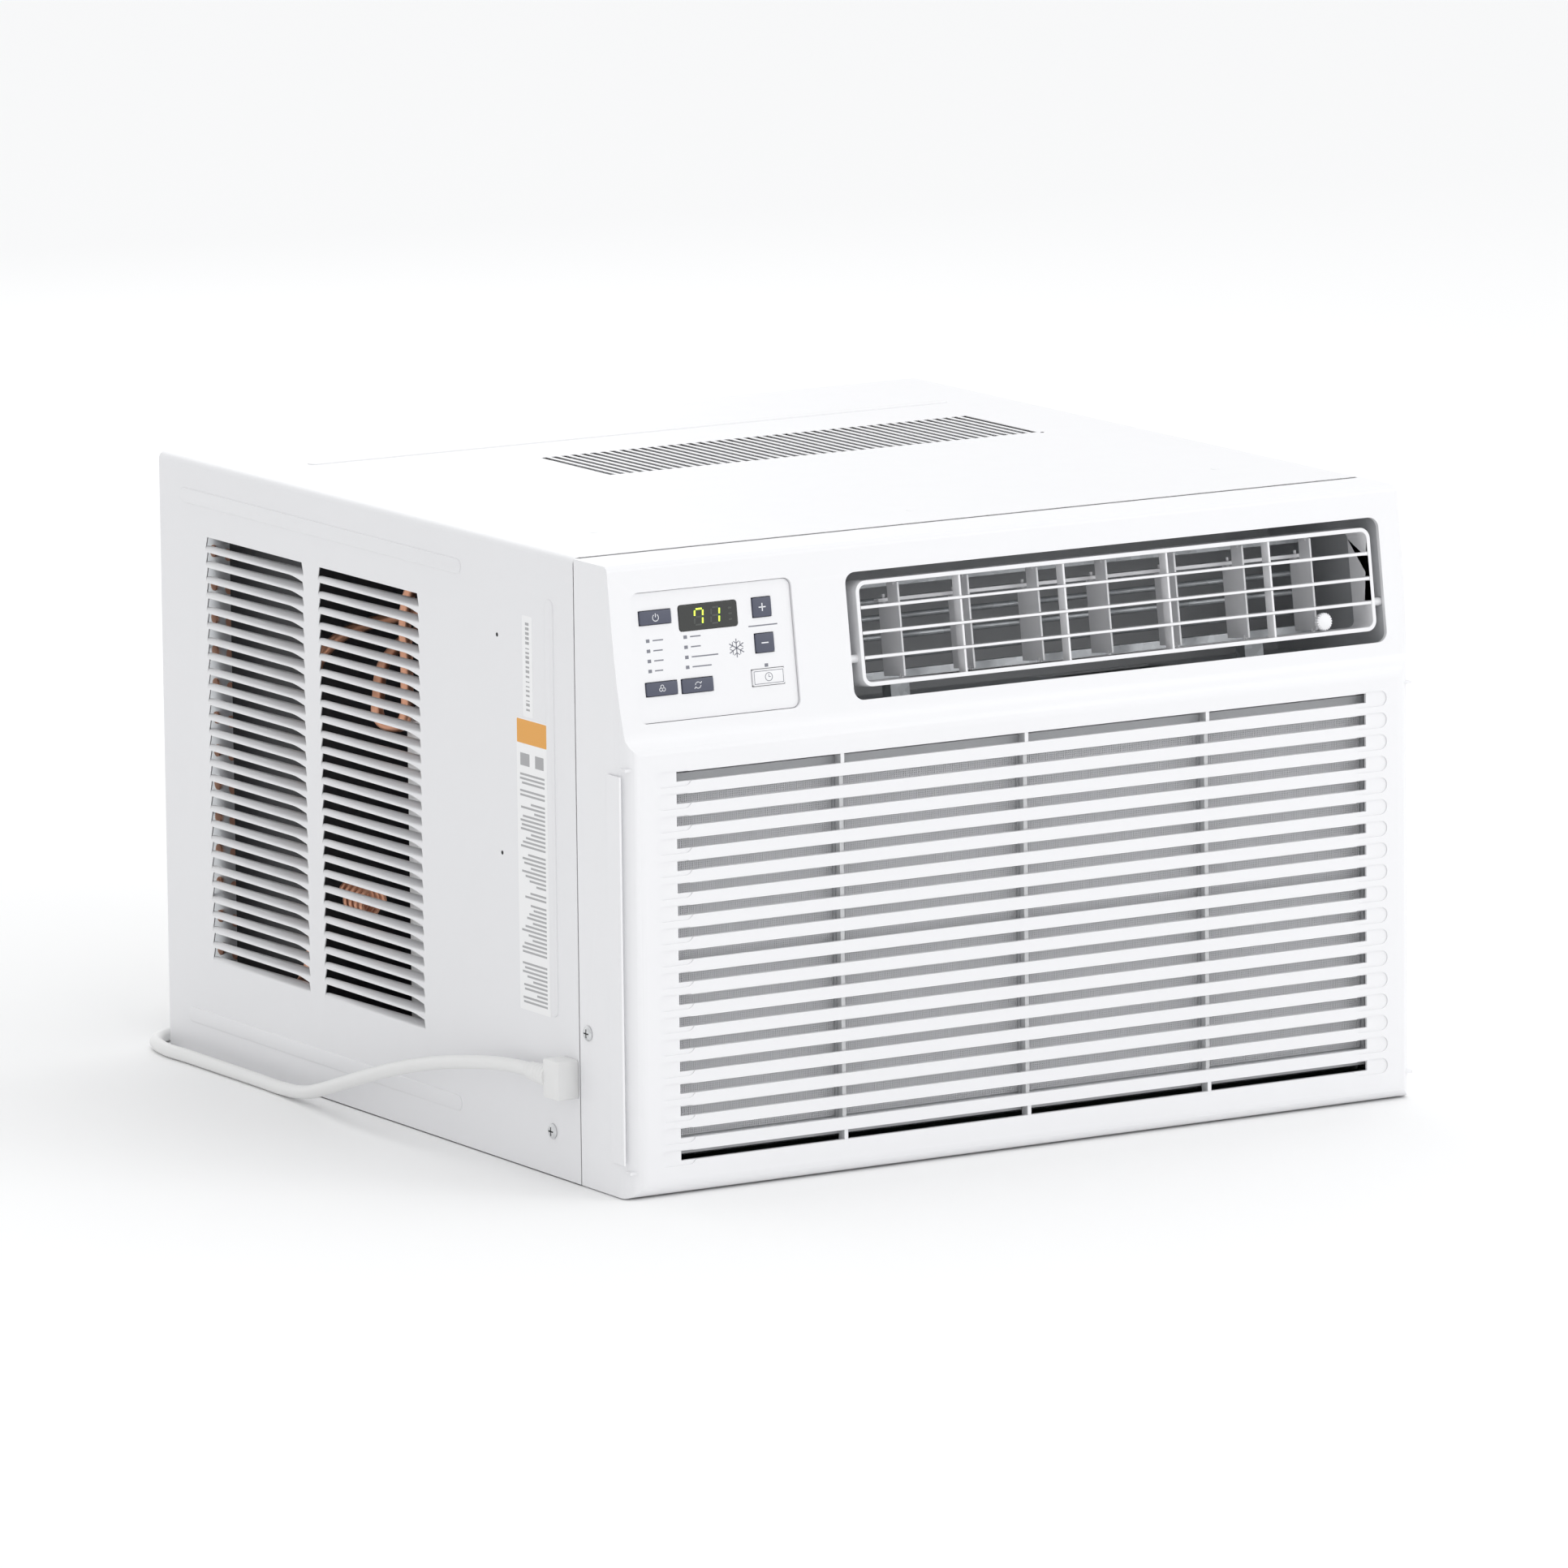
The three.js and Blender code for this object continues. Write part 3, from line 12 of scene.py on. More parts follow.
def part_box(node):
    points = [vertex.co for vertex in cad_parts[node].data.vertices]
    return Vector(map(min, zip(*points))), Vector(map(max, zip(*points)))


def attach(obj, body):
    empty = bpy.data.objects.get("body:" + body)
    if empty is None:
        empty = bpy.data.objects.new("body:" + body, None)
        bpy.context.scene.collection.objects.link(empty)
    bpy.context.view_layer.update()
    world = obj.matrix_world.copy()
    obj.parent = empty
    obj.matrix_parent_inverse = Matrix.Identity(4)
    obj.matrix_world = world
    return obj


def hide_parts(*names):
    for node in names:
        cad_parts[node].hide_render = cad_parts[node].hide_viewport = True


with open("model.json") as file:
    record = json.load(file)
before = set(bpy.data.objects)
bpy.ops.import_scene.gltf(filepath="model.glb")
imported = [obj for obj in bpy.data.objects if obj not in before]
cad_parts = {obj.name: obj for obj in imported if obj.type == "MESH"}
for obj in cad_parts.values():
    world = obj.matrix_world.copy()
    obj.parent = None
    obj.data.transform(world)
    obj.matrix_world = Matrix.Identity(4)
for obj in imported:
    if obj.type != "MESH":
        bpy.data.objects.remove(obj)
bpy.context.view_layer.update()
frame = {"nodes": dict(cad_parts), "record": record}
MM = 0.001

# ---------------------------------------------------------------- places, all from the frame
PANEL_LOW, PANEL_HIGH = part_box("front_panel")
CASE_LOW, CASE_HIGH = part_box("cabinet_wrap")
LEFT, RIGHT = CASE_LOW.x, CASE_HIGH.x
FRONT, SEAM, BACK = PANEL_LOW.y, PANEL_HIGH.y, CASE_HIGH.y
SKIRT, TOP = CASE_LOW.z, CASE_HIGH.z

SLOPE_FOOT_Z = 333 * MM
SLOPE_TILT = math.atan2(16, 113)
SLOPE = Matrix.Translation((0, FRONT + 7 * MM, SLOPE_FOOT_Z)) @ Matrix.Rotation(-SLOPE_TILT, 4, "X")

SHEET = 1.2 * MM
BEND = 5 * MM
SEAM_GAP = 1.3 * MM

LOUVRE_COUNT = 28
LOUVRE_PITCH = 11.4 * MM
LOUVRE_LOWEST = 75 * MM
LOUVRE_STRIP = 1.2 * MM
LOUVRE_COLUMNS = [(SEAM + 222.5 * MM, SEAM + 373 * MM), (SEAM + 393.8 * MM, SEAM + 544 * MM)]
BLADE_TOP = 4.7 * MM
BLADE_DEPTH = (2.6 * MM, 10 * MM)
BLADE_CLOSE = (3 * MM, 7 * MM)
LOUVRE_TRAPEZE = 3 * MM
LIP_LENGTH = 20 * MM
LIP_DROP = 2.8 * MM

VENT_COUNT = 45
VENT_PITCH = 8.24 * MM
VENT_SLOT = 5 * MM
VENT_X = 70 * MM
VENT_Y = (SEAM + 321 * MM, SEAM + 423 * MM)

SLOT_COUNT = 18
SLOT_PITCH = 15.9 * MM
SLOT_HEIGHT = 7 * MM
SLOT_LOWEST = 29 * MM
SLOT_END = 288.5 * MM
RECESS_END = 306 * MM
RECESS_DEPTH = 0.9 * MM

CORD_RADIUS = 5 * MM
CORD_FLOOR = CORD_RADIUS + 0.2 * MM


# ---------------------------------------------------------------- camera
def camera():
    azimuth, elevation, roll = (math.radians(angle) for angle in (-30.79, 10.02, -0.65))
    back = Vector((
        math.sin(azimuth) * math.cos(elevation),
        -math.cos(azimuth) * math.cos(elevation),
        math.sin(elevation),
    ))
    right = Vector((math.cos(azimuth), math.sin(azimuth), 0))
    up = back.cross(right)
    right, up = (
        right * math.cos(roll) + up * math.sin(roll),
        up * math.cos(roll) - right * math.sin(roll),
    )
    target = Vector((0, SEAM + 230 * MM, 230 * MM))
    data = bpy.data.cameras.new("camera")
    data.sensor_width = 36
    data.lens = 295.3
    data.clip_end = 100
    made = bpy.data.objects.new("camera", data)
    place = target + back * 9.4 - right * 20 * MM - up * 8 * MM
    made.matrix_world = Matrix.Translation(place) @ Matrix((right, up, back)).transposed().to_4x4()
    bpy.context.collection.objects.link(made)
    bpy.context.scene.camera = made


# ---------------------------------------------------------------- shader groups
def new_group(name, inputs, outputs):
    group = bpy.data.node_groups.new(name, "ShaderNodeTree")
    for label, kind, default in inputs:
        socket = group.interface.new_socket(label, in_out="INPUT", socket_type=kind)
        socket.default_value = default
    for label, kind in outputs:
        group.interface.new_socket(label, in_out="OUTPUT", socket_type=kind)
    return group, group.nodes.new("NodeGroupInput"), group.nodes.new("NodeGroupOutput")


def maths(tree, operation, first, second=None, clamp=False):
    node = tree.nodes.new("ShaderNodeMath")
    node.operation = operation
    node.use_clamp = clamp
    for socket, value in zip(node.inputs, (first, second)):
        if value is None:
            continue
        if isinstance(value, (int, float)):
            socket.default_value = value
        else:
            tree.links.new(value, socket)
    return node.outputs[0]


def noise(tree, vector, scale, detail=2.0, roughness=0.5):
    node = tree.nodes.new("ShaderNodeTexNoise")
    node.inputs["Detail"].default_value = detail
    node.inputs["Roughness"].default_value = roughness
    tree.links.new(vector, node.inputs["Vector"])
    if isinstance(scale, (int, float)):
        node.inputs["Scale"].default_value = scale
    else:
        tree.links.new(scale, node.inputs["Scale"])
    return node.outputs["Fac"]


def object_place(tree):
    return tree.nodes.new("ShaderNodeTexCoord").outputs["Object"]


def grain_group():
    """Fine surface grain: a height for a Bump node."""
    group, given, result = new_group(
        "surface grain",
        [("Scale", "NodeSocketFloat", 2000), ("Ripple", "NodeSocketFloat", 0.3)],
        [("Height", "NodeSocketFloat")],
    )
    place = object_place(group)
    fine = noise(group, place, given.outputs["Scale"], 3)
    broad = noise(group, place, maths(group, "MULTIPLY", given.outputs["Scale"], 0.06), 1)
    waved = maths(group, "MULTIPLY", broad, given.outputs["Ripple"])
    group.links.new(maths(group, "ADD", fine, waved), result.inputs["Height"])
    return group


def drift_group():
    """Slow changes of colour over a surface, with settled dust on what faces up."""
    group, given, result = new_group(
        "colour drift",
        [
            ("Colour", "NodeSocketColor", (0.8, 0.8, 0.8, 1)),
            ("Drift", "NodeSocketFloat", 0.04),
            ("Dust", "NodeSocketFloat", 0.05),
            ("Scale", "NodeSocketFloat", 9),
        ],
        [("Colour", "NodeSocketColor"), ("Dust", "NodeSocketFloat")],
    )
    place = object_place(group)
    slow = noise(group, place, given.outputs["Scale"], 4, 0.6)
    shift = maths(group, "MULTIPLY", maths(group, "SUBTRACT", slow, 0.5), given.outputs["Drift"])
    shade = group.nodes.new("ShaderNodeHueSaturation")
    group.links.new(given.outputs["Colour"], shade.inputs["Color"])
    group.links.new(maths(group, "ADD", shift, 1.0), shade.inputs["Value"])
    facing = group.nodes.new("ShaderNodeSeparateXYZ")
    group.links.new(group.nodes.new("ShaderNodeNewGeometry").outputs["Normal"], facing.inputs[0])
    upward = maths(group, "MAXIMUM", facing.outputs["Z"], 0.0)
    patch = maths(group, "SUBTRACT", noise(group, place, 60, 5, 0.7), 0.35, clamp=True)
    settled = maths(group, "MULTIPLY", upward, patch)
    amount = maths(group, "MULTIPLY", settled, given.outputs["Dust"], True)
    mix = group.nodes.new("ShaderNodeMix")
    mix.data_type = "RGBA"
    mix.inputs["B"].default_value = (0.62, 0.6, 0.56, 1)
    group.links.new(amount, mix.inputs["Factor"])
    group.links.new(shade.outputs["Color"], mix.inputs["A"])
    group.links.new(mix.outputs["Result"], result.inputs["Colour"])
    group.links.new(amount, result.inputs["Dust"])
    return group


def wear_group():
    """Rubbed edges: a mask from how sharply the surface turns, broken up by noise."""
    group, given, result = new_group(
        "edge wear", [("Amount", "NodeSocketFloat", 0.3)], [("Mask", "NodeSocketFloat")]
    )
    turn = group.nodes.new("ShaderNodeNewGeometry").outputs["Pointiness"]
    sharp = maths(group, "MULTIPLY", maths(group, "SUBTRACT", turn, 0.52), 9.0, True)
    broken = maths(group, "MULTIPLY", sharp, noise(group, object_place(group), 240, 4, 0.7))
    mask = maths(group, "MULTIPLY", broken, given.outputs["Amount"], True)
    group.links.new(mask, result.inputs["Mask"])
    return group


GRAIN, DRIFT, WEAR = grain_group(), drift_group(), wear_group()


# ---------------------------------------------------------------- finishes
def finish(name, colour, roughness, metallic=0.0, grain=2000, depth=0.02, ripple=0.3, drift=0.04,
           dust=0.05, wear=0.2, worn=None, coat=0.0, emission=0.0):
    """One material: drifting colour, rubbed edges, dust, and a bumped, uneven gloss."""
    made = bpy.data.materials.new(name)
    made.use_nodes = True
    tree = made.node_tree
    shader = tree.nodes["Principled BSDF"]
    shader.inputs["Metallic"].default_value = metallic
    shader.inputs["Coat Weight"].default_value = coat
    tint = tree.nodes.new("ShaderNodeGroup")
    tint.node_tree = DRIFT
    tint.inputs["Colour"].default_value = (*colour, 1)
    tint.inputs["Drift"].default_value = drift
    tint.inputs["Dust"].default_value = dust
    rub = tree.nodes.new("ShaderNodeGroup")
    rub.node_tree = WEAR
    rub.inputs["Amount"].default_value = wear
    mix = tree.nodes.new("ShaderNodeMix")
    mix.data_type = "RGBA"
    mix.inputs["B"].default_value = (*(worn or [min(1, c * 1.15 + 0.02) for c in colour]), 1)
    tree.links.new(rub.outputs["Mask"], mix.inputs["Factor"])
    tree.links.new(tint.outputs["Colour"], mix.inputs["A"])
    tree.links.new(mix.outputs["Result"], shader.inputs["Base Color"])
    texture = tree.nodes.new("ShaderNodeGroup")
    texture.node_tree = GRAIN
    texture.inputs["Scale"].default_value = grain
    texture.inputs["Ripple"].default_value = ripple
    uneven = maths(tree, "MULTIPLY", maths(tree, "SUBTRACT", texture.outputs["Height"], 0.6), 0.12)
    rough = maths(tree, "ADD", uneven, roughness)
    rough = maths(tree, "ADD", rough, maths(tree, "MULTIPLY", tint.outputs["Dust"], 0.5), True)
    tree.links.new(rough, shader.inputs["Roughness"])
    bump = tree.nodes.new("ShaderNodeBump")
    bump.inputs["Distance"].default_value = depth * MM
    bump.inputs["Strength"].default_value = 0.6
    tree.links.new(texture.outputs["Height"], bump.inputs["Height"])
    tree.links.new(bump.outputs["Normal"], shader.inputs["Normal"])
    if emission:
        shader.inputs["Emission Color"].default_value = (*colour, 1)
        shader.inputs["Emission Strength"].default_value = emission
    return made


def galvanised():
    """Zinc coat with its crystal spangle."""
    made = finish("galvanised steel", (0.56, 0.58, 0.6), 0.42, metallic=0.85, grain=900, depth=0.01)
    tree = made.node_tree
    cells = tree.nodes.new("ShaderNodeTexVoronoi")
    cells.inputs["Scale"].default_value = 110
    tree.links.new(object_place(tree), cells.inputs["Vector"])
    grey = tree.nodes.new("ShaderNodeRGBToBW")
    tree.links.new(cells.outputs["Color"], grey.inputs[0])
    mix = tree.nodes["Mix"]
    shade = tree.nodes.new("ShaderNodeHueSaturation")
    tree.links.new(mix.outputs["Result"], shade.inputs["Color"])
    value = maths(tree, "ADD", maths(tree, "MULTIPLY", grey.outputs[0], 0.28), 0.86)
    tree.links.new(value, shade.inputs["Value"])
    tree.links.new(shade.outputs["Color"], tree.nodes["Principled BSDF"].inputs["Base Color"])
    return made


def felted():
    """Needled felt: a pale, coarse grain with a soft sheen."""
    made = finish("felt", (0.84, 0.845, 0.85), 0.92, grain=500, depth=0.5, ripple=0.8,
                  drift=0.2, wear=0)
    made.node_tree.nodes["Principled BSDF"].inputs["Sheen Weight"].default_value = 0.3
    return made


WHITE_PLASTIC = finish("casing plastic", (0.83, 0.83, 0.845), 0.36, depth=0.012, drift=0.015,
                       dust=0.03, wear=0.1)
WHITE_STEEL = finish("casing enamel", (0.80, 0.80, 0.815), 0.33, grain=900, depth=0.01, ripple=0.8,
                     drift=0.02, dust=0.04, wear=0.1, coat=0.15)
GREY_PLASTIC = finish("duct plastic", (0.56, 0.57, 0.585), 0.55, dust=0.2)
SLATE = finish("button plastic", (0.075, 0.082, 0.12), 0.42, wear=0.15)
BLACK_PLASTIC = finish("black plastic", (0.025, 0.026, 0.03), 0.5, dust=0.2)
SMOKED = finish("smoked window", (0.018, 0.02, 0.018), 0.08, depth=0.002, coat=0.5, wear=0.05)
FOAM = finish("expanded foam", (0.74, 0.74, 0.71), 0.85, grain=350, depth=0.3, dust=0.1)
COPPER = finish("drawn copper", (0.72, 0.37, 0.24), 0.32, metallic=0.95, grain=700, depth=0.01,
                drift=0.25, wear=0.3, worn=(0.85, 0.5, 0.36))
ALUMINIUM = finish("fin stock", (0.72, 0.74, 0.76), 0.38, metallic=0.9, grain=700, depth=0.01, dust=0.2)
BLACK_PAINT = finish("black enamel", (0.02, 0.021, 0.024), 0.3, grain=600, depth=0.03, ripple=1.2,
                     dust=0.2)
RUBBER = finish("rubber", (0.02, 0.02, 0.02), 0.75, dust=0.2)
GALVANISED = galvanised()
FELT = felted()
NET = finish("filter net", (0.86, 0.865, 0.88), 0.7, drift=0.04, wear=0)
# The ribs behind the slots are part of the white front moulding; this grey is painted shade, so that
# they read as shaded and blend with the net.
RIB_PAINTED_SHADE = finish("support rib painted shade", (0.62, 0.625, 0.635), 0.6, drift=0.04, wear=0)
BOARD = finish("circuit board", (0.02, 0.12, 0.045), 0.35, drift=0.2)
BRIGHT_STEEL = finish("zinc plated steel", (0.68, 0.69, 0.7), 0.28, metallic=0.95, grain=1200,
                      depth=0.01)
SHEATH = finish("cord sheath", (0.8, 0.8, 0.795), 0.42, grain=1500, depth=0.01, dust=0.06)
BRASS = finish("contact brass", (0.78, 0.58, 0.26), 0.28, metallic=0.95, depth=0.006)
# Black for the strip behind the front seam; the same black stands in the pilot holes and the screw
# recesses as painted shade.
SEAM_BLACK_AND_HOLE_SHADE = finish("seam black and painted hole shade", (0.03, 0.03, 0.032), 0.9, grain=700, depth=0.1)
INK = finish("grey print", (0.2, 0.205, 0.24), 0.5, depth=0.002, wear=0)
PALE_INK = finish("pale print", (0.82, 0.83, 0.86), 0.5, depth=0.002, wear=0)
PAPER = finish("label film", (0.88, 0.88, 0.885), 0.3, depth=0.003, coat=0.2, wear=0)
LABEL_INK = finish("label print", (0.4, 0.4, 0.41), 0.45, depth=0.002, wear=0)
AMBER = finish("amber band", (0.78, 0.36, 0.05), 0.35, depth=0.003, wear=0)
LIT = finish("lit segment", (0.55, 0.9, 0.05), 0.4, emission=1.6, wear=0, dust=0)
UNLIT = finish("unlit segment", (0.06, 0.066, 0.06), 0.3, wear=0, dust=0)

SLOT_FINISH = {
    "casing_plastic": WHITE_PLASTIC, "casing_steel": WHITE_STEEL, "galvanised_steel": GALVANISED,
    "grey_plastic": GREY_PLASTIC, "slate_plastic": SLATE, "black_plastic": BLACK_PLASTIC,
    "smoked_window": SMOKED, "foam": FOAM, "copper": COPPER, "fin_aluminium": ALUMINIUM,
    "black_paint": BLACK_PAINT, "rubber": RUBBER, "felt": FELT, "filter_net": NET,
    "circuit_board": BOARD, "bright_steel": BRIGHT_STEEL, "cord_sheath": SHEATH,
    "contact_brass": BRASS,
}
NODE_SLOT = {part["node"]: part["material_slot"] for part in frame["record"]["subparts"]}
NODE_BODY = {
    node: body
    for body, nodes in frame["record"]["behaviour"]["bodies"].items()
    for node in nodes
}


# ---------------------------------------------------------------- mesh helpers
def make_piece(bm, name, material, body, replaces=(), smooth=38, matrix=None):
    """Turns a bmesh into a named piece that rides on a body."""
    if matrix is not None:
        bm.transform(matrix)
    mesh = bpy.data.meshes.new(name)
    bm.to_mesh(mesh)
    bm.free()
    mesh.materials.append(material)
    mesh.polygons.foreach_set("use_smooth", [True] * len(mesh.polygons))
    mesh.set_sharp_from_angle(angle=math.radians(smooth))
    piece = bpy.data.objects.new(name, mesh)
    bpy.context.collection.objects.link(piece)
    return dress(piece, body, replaces)


def dress(piece, body, replaces=()):
    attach(piece, body)
    if replaces:
        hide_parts(*replaces)
    return piece


def even_shading(piece):
    modifier = piece.modifiers.new("even shading", "WEIGHTED_NORMAL")
    modifier.keep_sharp = True
    return piece


def stamp(target, part, matrix=None):
    """Adds a copy of a finished bmesh to another one, moved by a matrix."""
    mesh = bpy.data.meshes.new("stamp")
    part.to_mesh(mesh)
    if matrix is not None:
        mesh.transform(matrix)
        if matrix.determinant() < 0:
            mesh.flip_normals()
    target.from_mesh(mesh)
    bpy.data.meshes.remove(mesh)


def round_edges(bm, edges, offset, segments=2):
    bmesh.ops.bevel(
        bm, geom=edges, offset=offset, offset_type="OFFSET", segments=segments, profile=0.5,
        affect="EDGES", clamp_overlap=True, material=-1,
    )


def cube(bm, low, high):
    low, high = Vector(low), Vector(high)
    size = high - low
    place = Matrix.Translation((low + high) / 2) @ Matrix.Diagonal((*size, 1))
    return bmesh.ops.create_cube(bm, size=1, matrix=place)["verts"]


def block(target, low, high, corner=0.0, axis=2, rim=0.0, corner_segments=5, rim_segments=2):
    """A box in metres; the edges along one axis are rounded by corner, all others by rim."""
    bm = bmesh.new()
    cube(bm, low, high)
    if corner:
        others = [i for i in range(3) if i != axis]
        along = [
            e for e in bm.edges
            if all(abs(e.verts[0].co[i] - e.verts[1].co[i]) < 1e-7 for i in others)
        ]
        round_edges(bm, along, corner, corner_segments)
    if rim:
        caps = [f for f in bm.faces if abs(f.normal[axis]) > 0.99]
        round_edges(bm, list({e for f in caps for e in f.edges}), rim, rim_segments)
    stamp(target, bm)
    bm.free()


def bar(target, start, end, radius, segments=20, rim=0.0, tip=None):
    """A round bar between two points, in metres."""
    bm = bmesh.new()
    start, end = Vector(start), Vector(end)
    along = end - start
    turn = along.to_track_quat("Z", "Y").to_matrix().to_4x4()
    bmesh.ops.create_cone(
        bm, cap_ends=True, cap_tris=False, segments=segments, radius1=radius,
        radius2=radius if tip is None else tip, depth=along.length,
        matrix=Matrix.Translation((start + end) / 2) @ turn,
    )
    if rim:
        caps = [f for f in bm.faces if len(f.verts) > 4]
        round_edges(bm, list({e for f in caps for e in f.edges}), rim, 2)
    stamp(target, bm)
    bm.free()


def turned(target, profile, centre, axis, segments=32):
    """A shape turned about an axis, from its profile of (radius, distance along the axis)."""
    bm = bmesh.new()
    centre, axis = Vector(centre), Vector(axis).normalized()
    side = axis.orthogonal().normalized()
    verts = [bm.verts.new(centre + side * radius + axis * along) for radius, along in profile]
    edges = [bm.edges.new(pair) for pair in zip(verts, verts[1:])]
    bmesh.ops.spin(
        bm, geom=verts + edges, cent=centre, axis=axis, angle=2 * math.pi, steps=segments,
        use_merge=True,
    )
    bmesh.ops.remove_doubles(bm, verts=bm.verts, dist=1e-6)
    bmesh.ops.recalc_face_normals(bm, faces=bm.faces)
    stamp(target, bm)
    bm.free()


def cad_copy(node, rim, angle=30, segments=2):
    """A merged copy of a CAD node's mesh with its sharp edges rounded."""
    bm = bmesh.new()
    bm.from_mesh(frame["nodes"][node].data)
    bmesh.ops.remove_doubles(bm, verts=bm.verts, dist=1e-6)
    bmesh.ops.dissolve_limit(
        bm, angle_limit=math.radians(0.5), use_dissolve_boundaries=False, verts=bm.verts,
        edges=bm.edges, delimit=set(),
    )
    sharp = [
        e for e in bm.edges
        if len(e.link_faces) == 2 and e.calc_face_angle() > math.radians(angle)
    ]
    if rim:
        bmesh.ops.bevel(
            bm, geom=sharp, offset=rim, offset_type="OFFSET", segments=segments, profile=0.5,
            affect="EDGES", clamp_overlap=False, material=-1,
        )
    return bm


def refine(node, rim, name=None, angle=30, segments=2, smooth=38):
    """Replaces a CAD node by a copy of it with rounded edges."""
    slot = NODE_SLOT[node]
    piece = make_piece(
        cad_copy(node, rim, angle, segments), name or f"{node}_finished", SLOT_FINISH[slot],
        NODE_BODY[node], [node], smooth,
    )
    return even_shading(piece)


def curve_piece(name, points, radius, material, sides=4, resolution=6):
    """A round tube along one smooth open curve through the points."""
    data = bpy.data.curves.new(name, "CURVE")
    data.dimensions = "3D"
    data.bevel_depth = radius
    data.bevel_resolution = sides
    data.resolution_u = resolution
    data.use_fill_caps = True
    spline = data.splines.new("BEZIER")
    spline.bezier_points.add(len(points) - 1)
    for knot, point in zip(spline.bezier_points, points):
        knot.co = point
        knot.handle_left_type = knot.handle_right_type = "AUTO"
    data.materials.append(material)
    piece = bpy.data.objects.new(name, data)
    bpy.context.collection.objects.link(piece)
    return piece


# ---------------------------------------------------------------- mains lead
COIL_CENTRE = Vector((-175 * MM, BACK + 84 * MM, 0))
COIL_RADIUS = 60 * MM
COIL_TURNS = 3
COIL_PITCH = 10.6 * MM
COIL_END = 36 * MM
TAIL_LENGTH = 84 * MM
PLUG_Z = 13.8 * MM
GLAND_Z = 76.5 * MM


def lead_route():
    """The cord's centre line, from its strain relief to the plug."""
    x = LEFT - 11 * MM
    line = COIL_CENTRE.y - COIL_RADIUS
    low = CORD_FLOOR
    free = [
        (0, 48.5, 76.5), (0, 62, 76.5), (-3, 91.8, 75), (-8, 129.9, 70.5), (-13, 170.2, 63.5),
        (-17, 209.9, 54), (-19, 249.7, 42.5), (-19, 290, 30), (-16, 328.1, 18.5), (-12, 363.9, 9.6),
        (-9, 399.8, 5.6), (-8, 440.1, 5.2), (-8, 489.8, 5.2), (-8, 545, 5.2), (-8, 590.3, 5.2),
        (3, 620, 5.2), (25, 636, 5.2),
    ]
    points = [Vector((x + dx * MM, SEAM + dy * MM, z * MM)) for dx, dy, z in free]
    points += [Vector((LEFT + 38 * MM, line, low)), Vector((LEFT + 68 * MM, line, low))]
    points += [Vector((COIL_CENTRE.x - COIL_END, line, low))]
    steps = 16
    for i in range(COIL_TURNS * steps + 1):
        angle = -math.pi / 2 + 2 * math.pi * i / steps
        rise = COIL_TURNS * COIL_PITCH * i / (COIL_TURNS * steps)
        points.append(Vector((
            COIL_CENTRE.x + COIL_RADIUS * math.cos(angle),
            COIL_CENTRE.y + COIL_RADIUS * math.sin(angle),
            low + rise,
        )))
    top = low + COIL_TURNS * COIL_PITCH
    leave = COIL_CENTRE.x + COIL_END
    end = leave + TAIL_LENGTH
    points += [
        Vector((leave, line, top)), Vector((leave + 16 * MM, line, top - 1.5 * MM)),
        Vector((end - TAIL_LENGTH / 2, line, (top + PLUG_Z) / 2)),
        Vector((end - 16 * MM, line, PLUG_Z + 0.5 * MM)), Vector((end - 0.3 * MM, line, PLUG_Z)),
    ]
    return points


def strain_relief():
    bm = bmesh.new()
    x, low, high = LEFT - 11 * MM, Vector((LEFT - 17 * MM, SEAM + 2.5 * MM, 62.5 * MM)), Vector(
        (LEFT - 0.1 * MM, SEAM + 24 * MM, 90.5 * MM))
    block(bm, low, high, corner=2.2 * MM, axis=0, rim=0.9 * MM)
    block(bm, (LEFT - 1 * MM, SEAM + 4.6 * MM, 65.6 * MM), (LEFT + 6 * MM, SEAM + 25.4 * MM, 88.4 * MM),
          corner=1 * MM, axis=0)
    start, length, ribs = SEAM + 23 * MM, 30 * MM, 6
    profile = [(0, 0)]
    for i in range(ribs):
        radius = CORD_RADIUS + (2.8 - 1.9 * i / ribs) * MM
        at, step = i / ribs * length, length / ribs
        profile += [(radius, at + 0.1 * step), (radius + 0.3 * MM, at + 0.35 * step),
                    (radius, at + 0.6 * step), (radius - 0.9 * MM, at + 0.8 * step)]
    profile += [(CORD_RADIUS + 0.7 * MM, length - 0.4 * MM), (CORD_RADIUS + 0.2 * MM, length),
                (0, length)]
    turned(bm, profile, (x, start, GLAND_Z), (0, 1, 0))
    return make_piece(bm, "strain_relief", SHEATH, "chassis", ["cord_gland"])


def plug_body():
    bm = bmesh.new()
    low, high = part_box("plug")
    centre_y = (low.y + high.y) / 2
    shoulder = low.x + 25 * MM
    profile = [(0, 0)]
    for i in range(5):
        radius = CORD_RADIUS + (1.1 + 0.5 * i) * MM
        at = i * 5 * MM
        profile += [(radius, at + 0.3 * MM), (radius + 0.3 * MM, at + 2 * MM), (radius, at + 3.4 * MM),
                    (radius - 0.8 * MM, at + 4.4 * MM)]
    profile += [(CORD_RADIUS + 3.5 * MM, 26 * MM), (0, 26 * MM)]
    turned(bm, profile, (low.x, centre_y, PLUG_Z), (1, 0, 0))
    block(bm, (shoulder, low.y, low.z), high, corner=4 * MM, axis=0, rim=1.6 * MM)
    for side in (-1, 1):
        for i in range(4):
            x = shoulder + (6 + 4.4 * i) * MM
            y = centre_y + side * 16 * MM
            block(bm, (x, y - 0.5 * MM, PLUG_Z - 8 * MM), (x + 2 * MM, y + 0.5 * MM, PLUG_Z + 8 * MM),
                  corner=0.4 * MM, axis=2)
    return make_piece(bm, "plug_moulded", SHEATH, "chassis", ["plug"])


